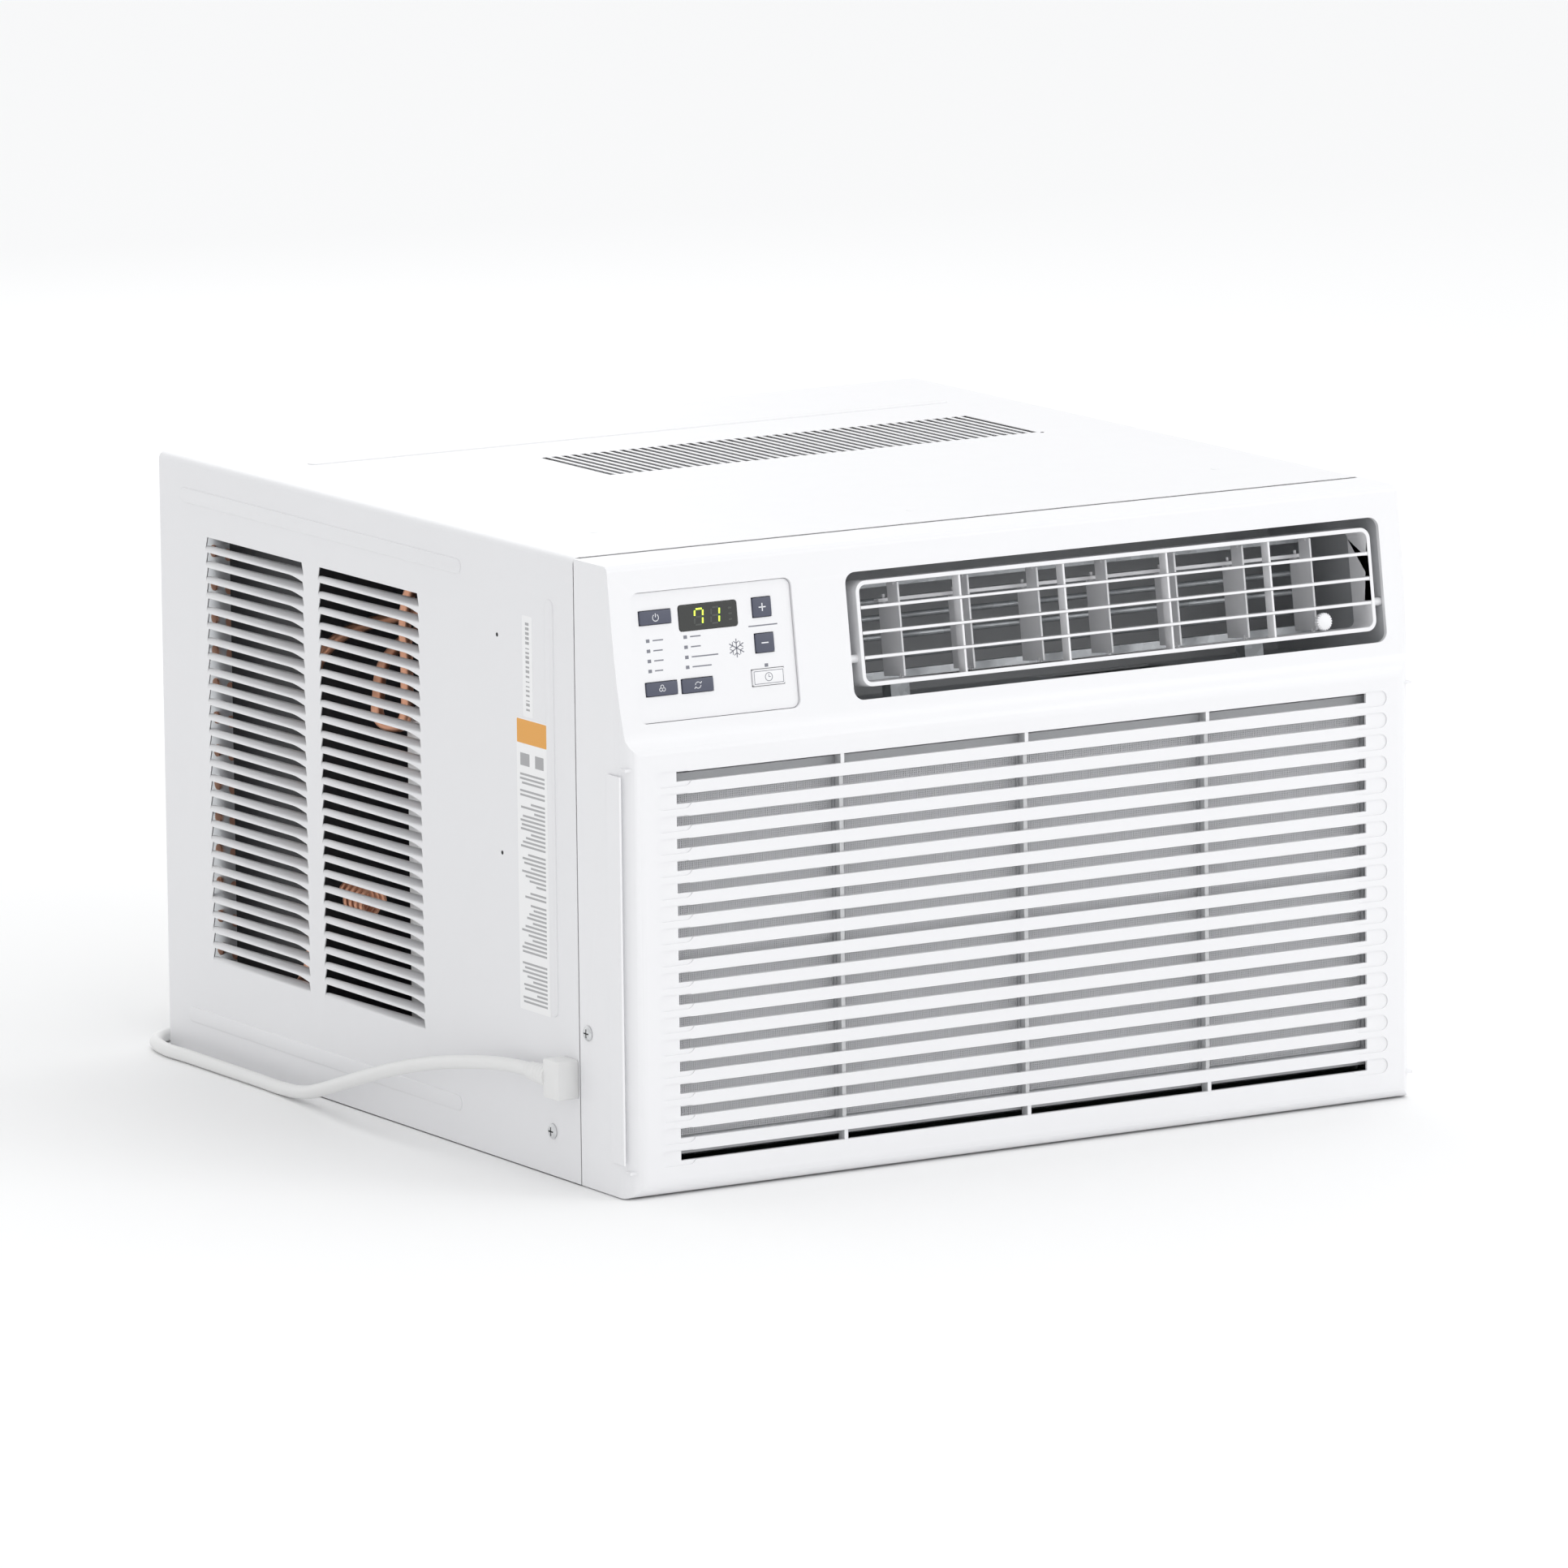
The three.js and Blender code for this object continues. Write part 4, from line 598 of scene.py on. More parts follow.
def mains_lead():
    relief, plug = strain_relief(), plug_body()
    points = lead_route()
    cord = curve_piece("mains_lead", points, CORD_RADIUS, SHEATH, sides=6)
    dress(cord, "chassis", ["power_cord", "cord_coil", "cord_tail"])
    tie = bmesh.new()
    at = COIL_CENTRE + Vector((COIL_RADIUS, 0, 0))
    gap, wall = 0.4 * MM, 1.2 * MM
    inner = CORD_RADIUS + gap
    top = CORD_FLOOR + (COIL_TURNS + 0.3) * COIL_PITCH
    y0, y1 = at.y - 4 * MM, at.y + 4 * MM
    for x in (at.x - inner - wall, at.x + inner):
        block(tie, (x, y0, 0.3 * MM), (x + wall, y1, top + wall), corner=0.5 * MM, axis=2)
    block(tie, (at.x - inner, y0, top), (at.x + inner, y1, top + wall), corner=0.5 * MM, axis=0)
    make_piece(tie, "cord_tie", BLACK_PLASTIC, "chassis")


# ---------------------------------------------------------------- cabinet
def cut_lines(bm, chosen, axis, values):
    """Cuts the chosen faces along planes square to an axis."""
    normal = Vector([1.0 if i == axis else 0.0 for i in range(3)])
    for value in values:
        faces = [f for f in bm.faces if chosen(f.calc_center_median(), f.normal)]
        edges = list({e for f in faces for e in f.edges})
        verts = list({v for f in faces for v in f.verts})
        bmesh.ops.bisect_plane(bm, geom=verts + edges + faces, dist=1e-6, plane_co=normal * value,
                               plane_no=normal)


def louvre_levels():
    return [LOUVRE_LOWEST + i * LOUVRE_PITCH for i in range(LOUVRE_COUNT + 1)]


def in_column(y):
    return any(near < y < far for near, far in LOUVRE_COLUMNS)


def smooth_step(value):
    value = min(max(value, 0.0), 1.0)
    return value * value * (3 - 2 * value)


def louvre_blade(near, far, low, lip):
    """One blade on the left wall, bent inwards, deeper towards the room, with its ends closed."""
    bm = bmesh.new()
    bmesh.ops.create_grid(bm, x_segments=14, y_segments=4, size=0.5)
    for v in bm.verts:
        along = 0.5 - 0.5 * math.cos(math.pi * (v.co.x + 0.5))
        up = v.co.y + 0.5
        inset = LOUVRE_TRAPEZE * 0.4 * up
        y = near + inset + (far - near - 2 * inset) * along
        closed = smooth_step((y - near) / BLADE_CLOSE[1]) * smooth_step((far - y) / BLADE_CLOSE[0])
        deep = BLADE_DEPTH[1] + (BLADE_DEPTH[0] - BLADE_DEPTH[1]) * along
        height = LOUVRE_STRIP + (BLADE_TOP - LOUVRE_STRIP) * up
        v.co = Vector((LEFT + deep * closed * up ** 1.3, y, low + height))
    if lip:
        steps = 7
        start = near + LOUVRE_TRAPEZE
        rim = [Vector((LEFT, start + LIP_LENGTH * i / steps, low)) for i in range(steps + 1)]
        hung = [p - Vector((0, 0, LIP_DROP * (1 - i / steps) ** 1.7)) for i, p in enumerate(rim[:-1])]
        hung[0].y -= 0.8 * MM
        bm.faces.new([bm.verts.new(p) for p in rim + hung[::-1]])
    bmesh.ops.recalc_face_normals(bm, faces=bm.faces)
    for f in bm.faces:
        if f.normal.x > 0:
            f.normal_flip()
    return bm


def cabinet():
    bm = bmesh.new()
    cube(bm, (LEFT, SEAM + SEAM_GAP, SKIRT), (RIGHT, BACK, TOP))
    open_sides = [f for f in bm.faces if abs(f.normal.y) > 0.9 or f.normal.z < -0.9]
    bmesh.ops.delete(bm, geom=open_sides, context="FACES_ONLY")
    folds = [e for e in bm.edges if all(v.co.z > TOP - 1e-6 for v in e.verts)
             and abs(e.verts[0].co.x - e.verts[1].co.x) < 1e-6]
    round_edges(bm, folds, BEND, 6)
    wall = lambda centre, normal: abs(normal.x) > 0.99
    roof = lambda centre, normal: normal.z > 0.99
    cut_lines(bm, wall, 1, [y for column in LOUVRE_COLUMNS for y in column])
    slats = lambda centre, normal: abs(normal.x) > 0.99 and in_column(centre.y)
    levels = louvre_levels()
    cut_lines(bm, slats, 2, sorted(levels + [z + LOUVRE_STRIP for z in levels]))
    cut_lines(bm, roof, 1, VENT_Y)
    vent_xs = [VENT_X + (i - (VENT_COUNT - 1) / 2) * VENT_PITCH for i in range(VENT_COUNT)]
    row = lambda centre, normal: normal.z > 0.99 and VENT_Y[0] < centre.y < VENT_Y[1]
    cut_lines(bm, row, 0, [x + side * VENT_SLOT / 2 for x in vent_xs for side in (-1, 1)])
    openings = []
    for f in bm.faces:
        centre = f.calc_center_median()
        if slats(centre, f.normal):
            step = (centre.z - LOUVRE_LOWEST) / LOUVRE_PITCH
            if 0 < step < LOUVRE_COUNT and step % 1 * LOUVRE_PITCH > LOUVRE_STRIP:
                openings.append(f)
        elif row(centre, f.normal) and any(abs(centre.x - x) < VENT_SLOT / 2 for x in vent_xs):
            openings.append(f)
    bmesh.ops.delete(bm, geom=openings, context="FACES_ONLY")
    for v in bm.verts:
        on_wall = v.co.x < LEFT + 1e-6 or v.co.x > RIGHT - 1e-6
        if not on_wall or not any(abs(v.co.z - z) < 1e-5 for z in levels[1:]):
            continue
        for near, far in LOUVRE_COLUMNS:
            if abs(v.co.y - near) < 1e-5:
                v.co.y += LOUVRE_TRAPEZE
            elif abs(v.co.y - far) < 1e-5:
                v.co.y -= LOUVRE_TRAPEZE
    mirror = Matrix.Diagonal((-1, 1, 1, 1))
    for near, far in LOUVRE_COLUMNS:
        for low in levels[:-1]:
            blade = louvre_blade(near, far, low, low > LOUVRE_LOWEST)
            stamp(bm, blade)
            stamp(bm, blade, mirror)
            blade.free()
    lean, drop = 3.6 * MM, 6 * MM
    for x in vent_xs:
        fin = bmesh.new()
        bmesh.ops.create_grid(fin, x_segments=3, y_segments=1, size=0.5)
        for v in fin.verts:
            down = 1 - (0.5 - v.co.x)
            v.co = Vector((x - VENT_SLOT / 2 + lean * down ** 1.5, VENT_Y[0] + 1 * MM
                           + (VENT_Y[1] - VENT_Y[0] - 2 * MM) * (v.co.y + 0.5),
                           TOP - 0.3 * MM - drop * down))
        stamp(bm, fin)
        fin.free()
    piece = make_piece(bm, "cabinet", WHITE_STEEL, "chassis", ["cabinet_wrap"])
    skin = piece.modifiers.new("sheet", "SOLIDIFY")
    skin.thickness = SHEET * 0.8
    skin.offset = -1
    even_shading(piece)
    cabinet_details()


def bead(bm, low, high, axis, proud=0.8):
    """A pressed bead: a low pad with round ends, standing out along one axis."""
    low, high = Vector(low), Vector(high)
    others = [i for i in range(3) if i != axis]
    radius = min((high - low)[i] for i in others) / 2 * 0.98
    block(bm, low, high, corner=radius, axis=axis, rim=proud * 0.8 * MM, corner_segments=8,
          rim_segments=3)


def cabinet_details():
    bm = bmesh.new()
    y = lambda behind: SEAM + behind * MM
    for side, x in ((-1, LEFT), (1, RIGHT)):
        low, high = sorted((x - side * 0.8 * MM, x + side * 0.7 * MM))
        for near, far, z0, z1 in ((161, 581, 416, 427), (171, 583, 25, 36.5), (30, 41, 116, 415)):
            bead(bm, (low, y(near), z0 * MM), (high, y(far), z1 * MM), 0)
    bead(bm, (-270 * MM, y(488), TOP - 0.8 * MM), (280 * MM, y(499), TOP + 0.7 * MM), 2)
    for x, behind in ((-259, 94), (-22, 52), (263, 92)):
        turned(bm, [(0, -0.2 * MM), (3.4 * MM, -0.2 * MM), (3 * MM, 0.25 * MM), (1.2 * MM, 0.5 * MM),
                    (0, 0.5 * MM)], (x * MM, y(behind), TOP), (0, 0, 1), 20)
    flange = 11 * MM
    for x0, x1, z0, z1 in (
        (LEFT + SHEET, LEFT + flange, SKIRT + 5 * MM, TOP - SHEET),
        (RIGHT - flange, RIGHT - SHEET, SKIRT + 5 * MM, TOP - SHEET),
        (LEFT + flange, RIGHT - flange, TOP - flange, TOP - SHEET),
    ):
        block(bm, (x0, BACK - SHEET, z0), (x1, BACK, z1), rim=0.3 * MM, axis=1)
    make_piece(bm, "cabinet_pressings", WHITE_STEEL, "chassis")
    # Dark discs on the walls and the top where pilot holes are: painted shade for the holes, which are
    # not cut through.
    holes = bmesh.new()
    for behind, z in ((110, 380), (107, 223.5)):
        for side, x in ((-1, LEFT), (1, RIGHT)):
            bar(holes, (x - side * 0.5 * MM, y(behind), z * MM),
                (x + side * 0.12 * MM, y(behind), z * MM), 1.5 * MM, 14)
    bar(holes, (256 * MM, y(318), TOP - 0.5 * MM), (256 * MM, y(318), TOP + 0.12 * MM), 1.4 * MM, 14)
    make_piece(holes, "pilot_hole_shade", SEAM_BLACK_AND_HOLE_SHADE, "chassis")
    # A black strip just behind the front seam gap, along both walls and the top.
    seam_strip = bmesh.new()
    inner, deep = SHEET + 0.2 * MM, 4 * MM
    y0, y1 = SEAM + 0.1 * MM, SEAM + 8 * MM
    for x0, x1, z0, z1 in (
        (LEFT + inner, LEFT + deep, SKIRT + 6 * MM, TOP - deep),
        (RIGHT - deep, RIGHT - inner, SKIRT + 6 * MM, TOP - deep),
        (LEFT + deep, RIGHT - deep, TOP - deep, TOP - inner),
    ):
        block(seam_strip, (x0, y0, z0), (x1, y1, z1), rim=0.4 * MM, axis=1)
    make_piece(seam_strip, "seam_black_strip", SEAM_BLACK_AND_HOLE_SHADE, "chassis")


# ---------------------------------------------------------------- room-side panel
def front_panel():
    bm = cad_copy("front_panel", 0)
    piece = make_piece(bm, "front_panel_moulded", WHITE_PLASTIC, "chassis",
                       ["front_panel"])
    recesses = bmesh.new()
    for i in range(SLOT_COUNT):
        middle = SLOT_LOWEST + i * SLOT_PITCH
        low, high = middle - SLOT_HEIGHT / 2 - 3.4 * MM, middle + SLOT_HEIGHT / 2 + 0.9 * MM
        for side in (-1, 1):
            x0, x1 = sorted((side * (SLOT_END - 12 * MM), side * RECESS_END))
            block(recesses, (x0, FRONT - 2 * MM, low), (x1, FRONT + RECESS_DEPTH, high),
                  corner=(high - low) / 2 * 0.98, axis=1, corner_segments=8)
    mesh = bpy.data.meshes.new("recesses")
    recesses.to_mesh(mesh)
    recesses.free()
    tool = bpy.data.objects.new("recesses", mesh)
    bpy.context.collection.objects.link(tool)
    cut = piece.modifiers.new("recesses", "BOOLEAN")
    cut.object = tool
    cut.operation = "DIFFERENCE"
    cut.solver = "EXACT"
    graph = bpy.context.evaluated_depsgraph_get()
    shaped = bpy.data.meshes.new_from_object(piece.evaluated_get(graph))
    piece.modifiers.clear()
    piece.data = shaped
    bpy.data.objects.remove(tool)
    # Faces more than 3.3 mm behind the front, within the slot ends and between the lowest and highest
    # slot, take the grey: painted shade on the support ribs.
    if len(shaped.materials) < 2:
        shaped.materials.append(RIB_PAINTED_SHADE)
    ends = (SLOT_LOWEST + 0.6 * SLOT_PITCH, SLOT_LOWEST + (SLOT_COUNT - 1.6) * SLOT_PITCH)
    for f in shaped.polygons:
        f.material_index = int(f.center.y > FRONT + 3.3 * MM and abs(f.center.x) < SLOT_END
                               and ends[0] < f.center.z < ends[1])
    shaped.polygons.foreach_set("use_smooth", [True] * len(shaped.polygons))
    shaped.set_sharp_from_angle(angle=math.radians(38))
    rim = piece.modifiers.new("rims", "BEVEL")
    rim.width = 0.55 * MM
    rim.segments = 2
    rim.limit_method = "ANGLE"
    rim.angle_limit = math.radians(38)
    rim.use_clamp_overlap = True
    rim.harden_normals = False
    even_shading(piece)


def air_filter():
    refine("filter_frame", 0.4 * MM)
    low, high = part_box("filter_mesh")
    bm = bmesh.new()
    middle = (low.y + high.y) / 2
    pitch, thread = 1.5 * MM, 0.42 * MM
    columns = int((high.x - low.x) / pitch)
    rows = int((high.z - low.z) / pitch)
    for i in range(columns):
        x = low.x + (i + 0.5) * pitch
        cube(bm, (x - thread, middle - thread, low.z), (x + thread, middle, high.z))
    for i in range(rows):
        z = low.z + (i + 0.5) * pitch
        cube(bm, (low.x, middle - 0.1 * MM, z - thread), (high.x, middle + thread, z + thread))
    make_piece(bm, "filter_net", NET, "air_filter", ["filter_mesh"])
    low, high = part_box("filter_pull")
    pull = bmesh.new()
    block(pull, low, high, corner=1.5 * MM, axis=1, rim=0)
    make_piece(pull, "filter_pull_strip", WHITE_PLASTIC, "air_filter",
               ["filter_pull"])


# ---------------------------------------------------------------- outlet
def outlet():
    refine("swing_louvre", 0.45 * MM)
    for i in range(7):
        refine(f"vane_{i + 1}", 0.3 * MM)
    refine("vane_link", 0.35 * MM)
    refine("outlet_duct", 0.5 * MM)
    low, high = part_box("vane_knob")
    bm = bmesh.new()
    x = (low.x + high.x) / 2 / MM
    up = 23.8
    turned(bm, [(0, 1.5 * MM), (4.6 * MM, 1.5 * MM), (5.4 * MM, 1.9 * MM), (5.6 * MM, 2.6 * MM),
                (5.6 * MM, 6.2 * MM), (4.8 * MM, 6.7 * MM), (2.4 * MM, 7 * MM), (2.2 * MM, 13 * MM),
                (0, 13 * MM)], (x * MM, 0, up * MM), (0, 1, 0), 36)
    ribs = 20
    for i in range(ribs):
        angle = 2 * math.pi * i / ribs
        at = Vector((x + 5.7 * math.cos(angle), 0, up + 5.7 * math.sin(angle))) * MM
        bar(bm, at + Vector((0, 2.1 * MM, 0)), at + Vector((0, 6.2 * MM, 0)), 0.75 * MM, 8,
            rim=0.25 * MM)
    make_piece(bm, "vane_knob_ribbed", WHITE_PLASTIC, "vane_7", ["vane_knob"],
               matrix=SLOPE)


# ---------------------------------------------------------------- controls
FASCIA = 2.2
PRINT = 0.06
BUTTON_FACE = FASCIA - 1.1
BUTTONS = {
    "power_button": (-306, 73.5, 25.6, 9.6),
    "warmer_button": (-214, 70.8, 15, 13.6),
    "cooler_button": (-214, 45.8, 15, 13.3),
    "fan_button": (-305, 23.5, 25.2, 9.4),
    "mode_button": (-276, 23.1, 25.2, 9.7),
    "timer_button": (-218.8, 22.6, 26.2, 11.5),
}


def stroke(bm, a, b, width, face, sink=0.25):
    """A flat printed line between two points of the sloping face, in millimetres."""
    (ax, au), (bx, bu) = a, b
    length = math.hypot(bx - ax, bu - au) + width * 0.6
    part = bmesh.new()
    cube(part, (-length / 2 * MM, (face - PRINT) * MM, -width / 2 * MM),
         (length / 2 * MM, (face + sink) * MM, width / 2 * MM))
    turn = Matrix.Rotation(-math.atan2(bu - au, bx - ax), 4, "Y")
    stamp(bm, part, Matrix.Translation(((ax + bx) / 2 * MM, 0, (au + bu) / 2 * MM)) @ turn)
    part.free()


def arc(bm, centre, radius, start, end, width, face, steps=12):
    angles = [math.radians(start + (end - start) * i / steps) for i in range(steps + 1)]
    points = [(centre[0] + radius * math.cos(a), centre[1] + radius * math.sin(a)) for a in angles]
    for a, b in zip(points, points[1:]):
        stroke(bm, a, b, width, face)


def symbol(name, cx, cu, face):
    """The printed symbol in the middle of one button."""
    bm = bmesh.new()
    if name == "power_button":
        arc(bm, (cx, cu - 0.3), 2.4, 125, 415, 0.55, face)
        stroke(bm, (cx, cu + 0.2), (cx, cu + 2.6), 0.55, face)
    elif name == "warmer_button":
        stroke(bm, (cx - 2.6, cu), (cx + 2.6, cu), 0.8, face)
        stroke(bm, (cx, cu - 2.6), (cx, cu + 2.6), 0.8, face)
    elif name == "cooler_button":
        stroke(bm, (cx - 2.6, cu), (cx + 2.6, cu), 0.8, face)
    elif name == "fan_button":
        for i in range(3):
            a = math.radians(90 + 120 * i)
            arc(bm, (cx + 1.35 * math.cos(a), cu + 1.35 * math.sin(a)), 1.2, 0, 360, 0.5, face, 10)
    elif name == "mode_button":
        arc(bm, (cx, cu), 2.2, 30, 170, 0.5, face, 8)
        arc(bm, (cx, cu), 2.2, 210, 350, 0.5, face, 8)
        stroke(bm, (cx + 1.9, cu + 1.1), (cx + 3, cu + 2.2), 0.5, face)
        stroke(bm, (cx - 1.9, cu - 1.1), (cx - 3, cu - 2.2), 0.5, face)
    else:
        arc(bm, (cx, cu), 2.9, 0, 360, 0.45, face, 18)
        stroke(bm, (cx, cu), (cx, cu + 1.9), 0.45, face)
        stroke(bm, (cx, cu), (cx + 1.4, cu), 0.45, face)
    return bm


def buttons():
    for name, (left, low, width, height) in BUTTONS.items():
        plain = name == "timer_button"
        material, slot = (WHITE_PLASTIC, "casing_plastic") if plain else (SLATE, "slate_plastic")
        bm = bmesh.new()
        block(bm, (left * MM, BUTTON_FACE * MM, low * MM),
              ((left + width) * MM, (FASCIA + 3.6) * MM, (low + height) * MM),
              corner=1.6 * MM, axis=1, rim=0.45 * MM, rim_segments=3)
        block(bm, ((left - 1.2) * MM, (FASCIA + 3.4) * MM, (low - 1.2) * MM),
              ((left + width + 1.2) * MM, (FASCIA + 4.4) * MM, (low + height + 1.2) * MM), axis=1,
              rim=0.2 * MM)
        make_piece(bm, f"{name}_cap", material, name, [name], matrix=SLOPE)
        mark = symbol(name, left + width / 2, low + height / 2, BUTTON_FACE)
        if plain:
            inset = 1.3
            x0, x1, u0, u1 = left + inset, left + width - inset, low + inset, low + height - inset
            corners = [(x0, u0), (x1, u0), (x1, u1), (x0, u1)]
            for a, b in zip(corners, corners[1:] + corners[:1]):
                stroke(mark, a, b, 0.4, BUTTON_FACE)
        make_piece(mark, f"{name}_symbol", INK if plain else PALE_INK, name, matrix=SLOPE)


def digit_bars(cx, cu, width, height):
    """The seven bars of a digit, clockwise from the top, with the middle one last."""
    w, h = width / 2, height / 2
    lean = 0.09 * h
    corners = {
        "tl": (cx - w + lean, cu + h), "tr": (cx + w + lean, cu + h), "ml": (cx - w, cu),
        "mr": (cx + w, cu), "bl": (cx - w - lean, cu - h), "br": (cx + w - lean, cu - h),
    }
    pairs = ("tl tr", "tr mr", "mr br", "bl br", "bl ml", "ml tl", "ml mr")
    made = []
    for pair in pairs:
        a, b = (Vector(corners[key]) for key in pair.split())
        gap = (b - a).normalized() * 1.2
        made.append((tuple(a + gap), tuple(b - gap)))
    return made


def display():
    refine("display_window", 0.25 * MM)
    face = FASCIA - 0.4
    lit, unlit = bmesh.new(), bmesh.new()
    for cx, value in ((-258, "seven"), (-244.6, "one")):
        shown = {"seven": (0, 1, 2, 5), "one": (1, 2)}[value]
        for i, (a, b) in enumerate(digit_bars(cx, 75.5, 6.6, 11)):
            stroke(lit if i in shown else unlit, a, b, 1.15, face)
    for u in (71.5, 75.5, 79.5):
        stroke(unlit, (-233.5, u), (-231.5, u), 1.2, face)
    make_piece(lit, "display_lit", LIT, "chassis", matrix=SLOPE)
    make_piece(unlit, "display_unlit", UNLIT, "chassis", matrix=SLOPE)


def legends():
    """Indicator windows with a short plain line beside each, and the snow crystal."""
    bm = bmesh.new()
    for x, lengths in ((-300.4, (8, 7, 7, 6)), (-270, (8, 7.5, 21, 15))):
        for u, length in zip((62.2, 55.1, 48, 41), lengths):
            stroke(bm, (x - 0.7, u), (x + 0.7, u), 2.4, FASCIA)
            stroke(bm, (x + 4.2, u), (x + 4.2 + length, u), 0.9, FASCIA)
    stroke(bm, (-207, 36.6), (-205.6, 36.6), 2.4, FASCIA)
    stroke(bm, (-218, 64.8), (-195, 64.8), 0.9, FASCIA)
    centre = (-229.3, 50.8)
    for i in range(6):
        a = math.radians(30 + 60 * i)
        reach = lambda r, turn=0: (centre[0] + r * math.cos(a + turn),
                                   centre[1] + r * math.sin(a + turn))
        stroke(bm, centre, reach(6.4), 0.75, FASCIA)
        for turn in (-0.42, 0.42):
            stroke(bm, reach(3.4), reach(5.3, turn), 0.6, FASCIA)
    make_piece(bm, "control_print", INK, "chassis", matrix=SLOPE)


def controls():
    refine("control_fascia", 0.35 * MM)
    buttons()
    display()
    legends()


# ---------------------------------------------------------------- insides
def finned_coil(node, name):
    """End plates, fins, and two rows of tube that run to and fro through them."""
    low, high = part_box(node)
    pitch, fin, plate, inset, reach = 2.2 * MM, 0.12 * MM, 3 * MM, 1.5 * MM, 1 * MM
    bm = bmesh.new()
    for x in (low.x, high.x - plate):
        block(bm, (x, low.y, low.z), (x + plate, high.y, high.z), rim=0.5 * MM, axis=0)
    count = int((high.x - low.x - 2 * plate) / pitch)
    for i in range(count):
        x = low.x + plate + (i + 0.5) * pitch
        cube(bm, (x - fin, low.y + inset, low.z + inset),
             (x + fin, high.y - inset, high.z - 2 * inset))
    make_piece(bm, f"{name}_fins", ALUMINIUM, "chassis", [node])
    copper = bmesh.new()
    radius, rise = 4.5 * MM, 25 * MM
    depth_rows = 2
    for row in range(depth_rows):
        y = low.y + (high.y - low.y) * (row + 0.5) / depth_rows
        steps = int((high.z - low.z - 20 * MM) / rise)
        for i in range(steps):
            z = low.z + 14 * MM + i * rise
            bar(copper, (low.x - reach, y, z), (high.x + reach, y, z), radius, 12)
            if i % 2 == 0 and i + 1 < steps:
                u_bend(copper, Vector((low.x - reach, y, z)), rise, radius, -1)
            elif i + 1 < steps:
                u_bend(copper, Vector((high.x + reach, y, z)), rise, radius, 1)
    make_piece(copper, f"{name}_tubes", COPPER, "chassis")


def u_bend(target, at, rise, radius, side):
    """A half turn of tube that joins two passes of a coil, at one of its ends."""
    bm = bmesh.new()
    turn = Matrix.Translation(at) @ Matrix.Rotation(math.pi / 2, 4, "Y")
    ring = bmesh.ops.create_circle(bm, cap_ends=False, segments=10, radius=radius, matrix=turn)["verts"]
    edges = list({e for v in ring for e in v.link_edges})
    bmesh.ops.spin(
        bm, geom=ring + edges, cent=at + Vector((0, 0, rise / 2)), axis=(0, side, 0),
        angle=math.pi, steps=8, use_merge=False,
    )
    squeeze = Matrix.Translation(at) @ Matrix.Diagonal((0.72, 1, 1, 1)) @ Matrix.Translation(-at)
    bm.transform(squeeze)
    bmesh.ops.recalc_face_normals(bm, faces=bm.faces)
    stamp(target, bm)
    bm.free()


def pipes():
    y = lambda behind: SEAM + behind * MM
    place = lambda route: [Vector((x * MM, y(behind), z * MM)) for x, behind, z in route]
    suction = place([
        (-205, 285, 301), (-207, 285, 330), (-225, 292, 352), (-262, 318, 352), (-296, 331, 330),
        (-304, 332, 300), (-304, 331, 286), (-300, 320, 282), (-300, 300, 290), (-300, 296, 320),
        (-300, 292, 380), (-297, 270, 400), (-296, 220, 400), (-296, 150, 400), (-296, 84, 396),
        (-297, 58, 372), (-298, 50, 344), (-298, 38, 324), (-298, 12, 318), (-298, -6, 312),
        (-298, -12, 290), (-297, -12, 250),
    ])
    discharge = place([
        (-170, 300, 300), (-172, 308, 330), (-196, 352, 348), (-250, 400, 346), (-300, 420, 322),
        (-308, 424, 280), (-308, 424, 200), (-309, 424, 120), (-312, 434, 80), (-314, 470, 60),
        (-314, 520, 56), (-313, 560, 56), (-308, 580, 60),
    ])
    turns, steps = 4.5, 14
    capillary = [
        Vector((
            (-308 + 10.5 * 0.8 * math.cos(2 * math.pi * i / steps)) * MM,
            y(336 + 8 * i / steps),
            (150 + 10.5 * math.sin(2 * math.pi * i / steps)) * MM,
        ))
        for i in range(int(turns * steps) + 1)
    ]
    for name, node, points, radius in (
        ("suction_line", "suction_pipe", suction, 4.8),
        ("discharge_line", "discharge_pipe", discharge, 4.8),
        ("capillary", "capillary_coil", capillary, 2),
    ):
        piece = curve_piece(name, points, radius * MM, COPPER, sides=4, resolution=5)
        dress(piece, "chassis", [node])


def wire_guard():
    low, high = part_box("rear_guard")
    border = 20 * MM
    bm = bmesh.new()
    for x0, x1, z0, z1 in (
        (low.x, low.x + border, low.z, high.z), (high.x - border, high.x, low.z, high.z),
        (low.x + border, high.x - border, low.z, low.z + border),
        (low.x + border, high.x - border, high.z - border, high.z),
    ):
        block(bm, (x0, low.y + 4 * MM, z0), (x1, high.y, z1), rim=0.6 * MM, axis=1)
    y = low.y + 2.2 * MM
    uprights, rails = 22, 6
    for i in range(1, uprights):
        x = low.x + border + (high.x - low.x - 2 * border) * i / uprights
        bar(bm, (x, y, low.z + border / 2), (x, y, high.z - border / 2), 1.1 * MM, 10)
    for i in range(1, rails):
        z = low.z + border + (high.z - low.z - 2 * border) * i / rails
        bar(bm, (low.x + border / 2, y + 2.2 * MM, z), (high.x - border / 2, y + 2.2 * MM, z),
            1.3 * MM, 10)
    make_piece(bm, "wire_guard", WHITE_STEEL, "chassis", ["rear_guard"])


def insides():
    finned_coil("evaporator_coil", "indoor_coil")
    finned_coil("condenser_coil", "outdoor_coil")
    pipes()
    wire_guard()
    for node, rim in (("bulkhead", 0), ("control_box", 0.3), ("motor_bracket", 0.4), ("base_pan", 0.4),
                      ("heater_frame", 0.3), ("fan_shroud", 0.5), ("compressor", 0), ("fan_motor", 0.8),
                      ("blower_scroll", 1.0), ("run_capacitor", 1.2), ("compressor_blanket", 1.0),
                      ("condenser_fan", 0), ("blower_wheel", 0)):
        refine(node, rim * MM)


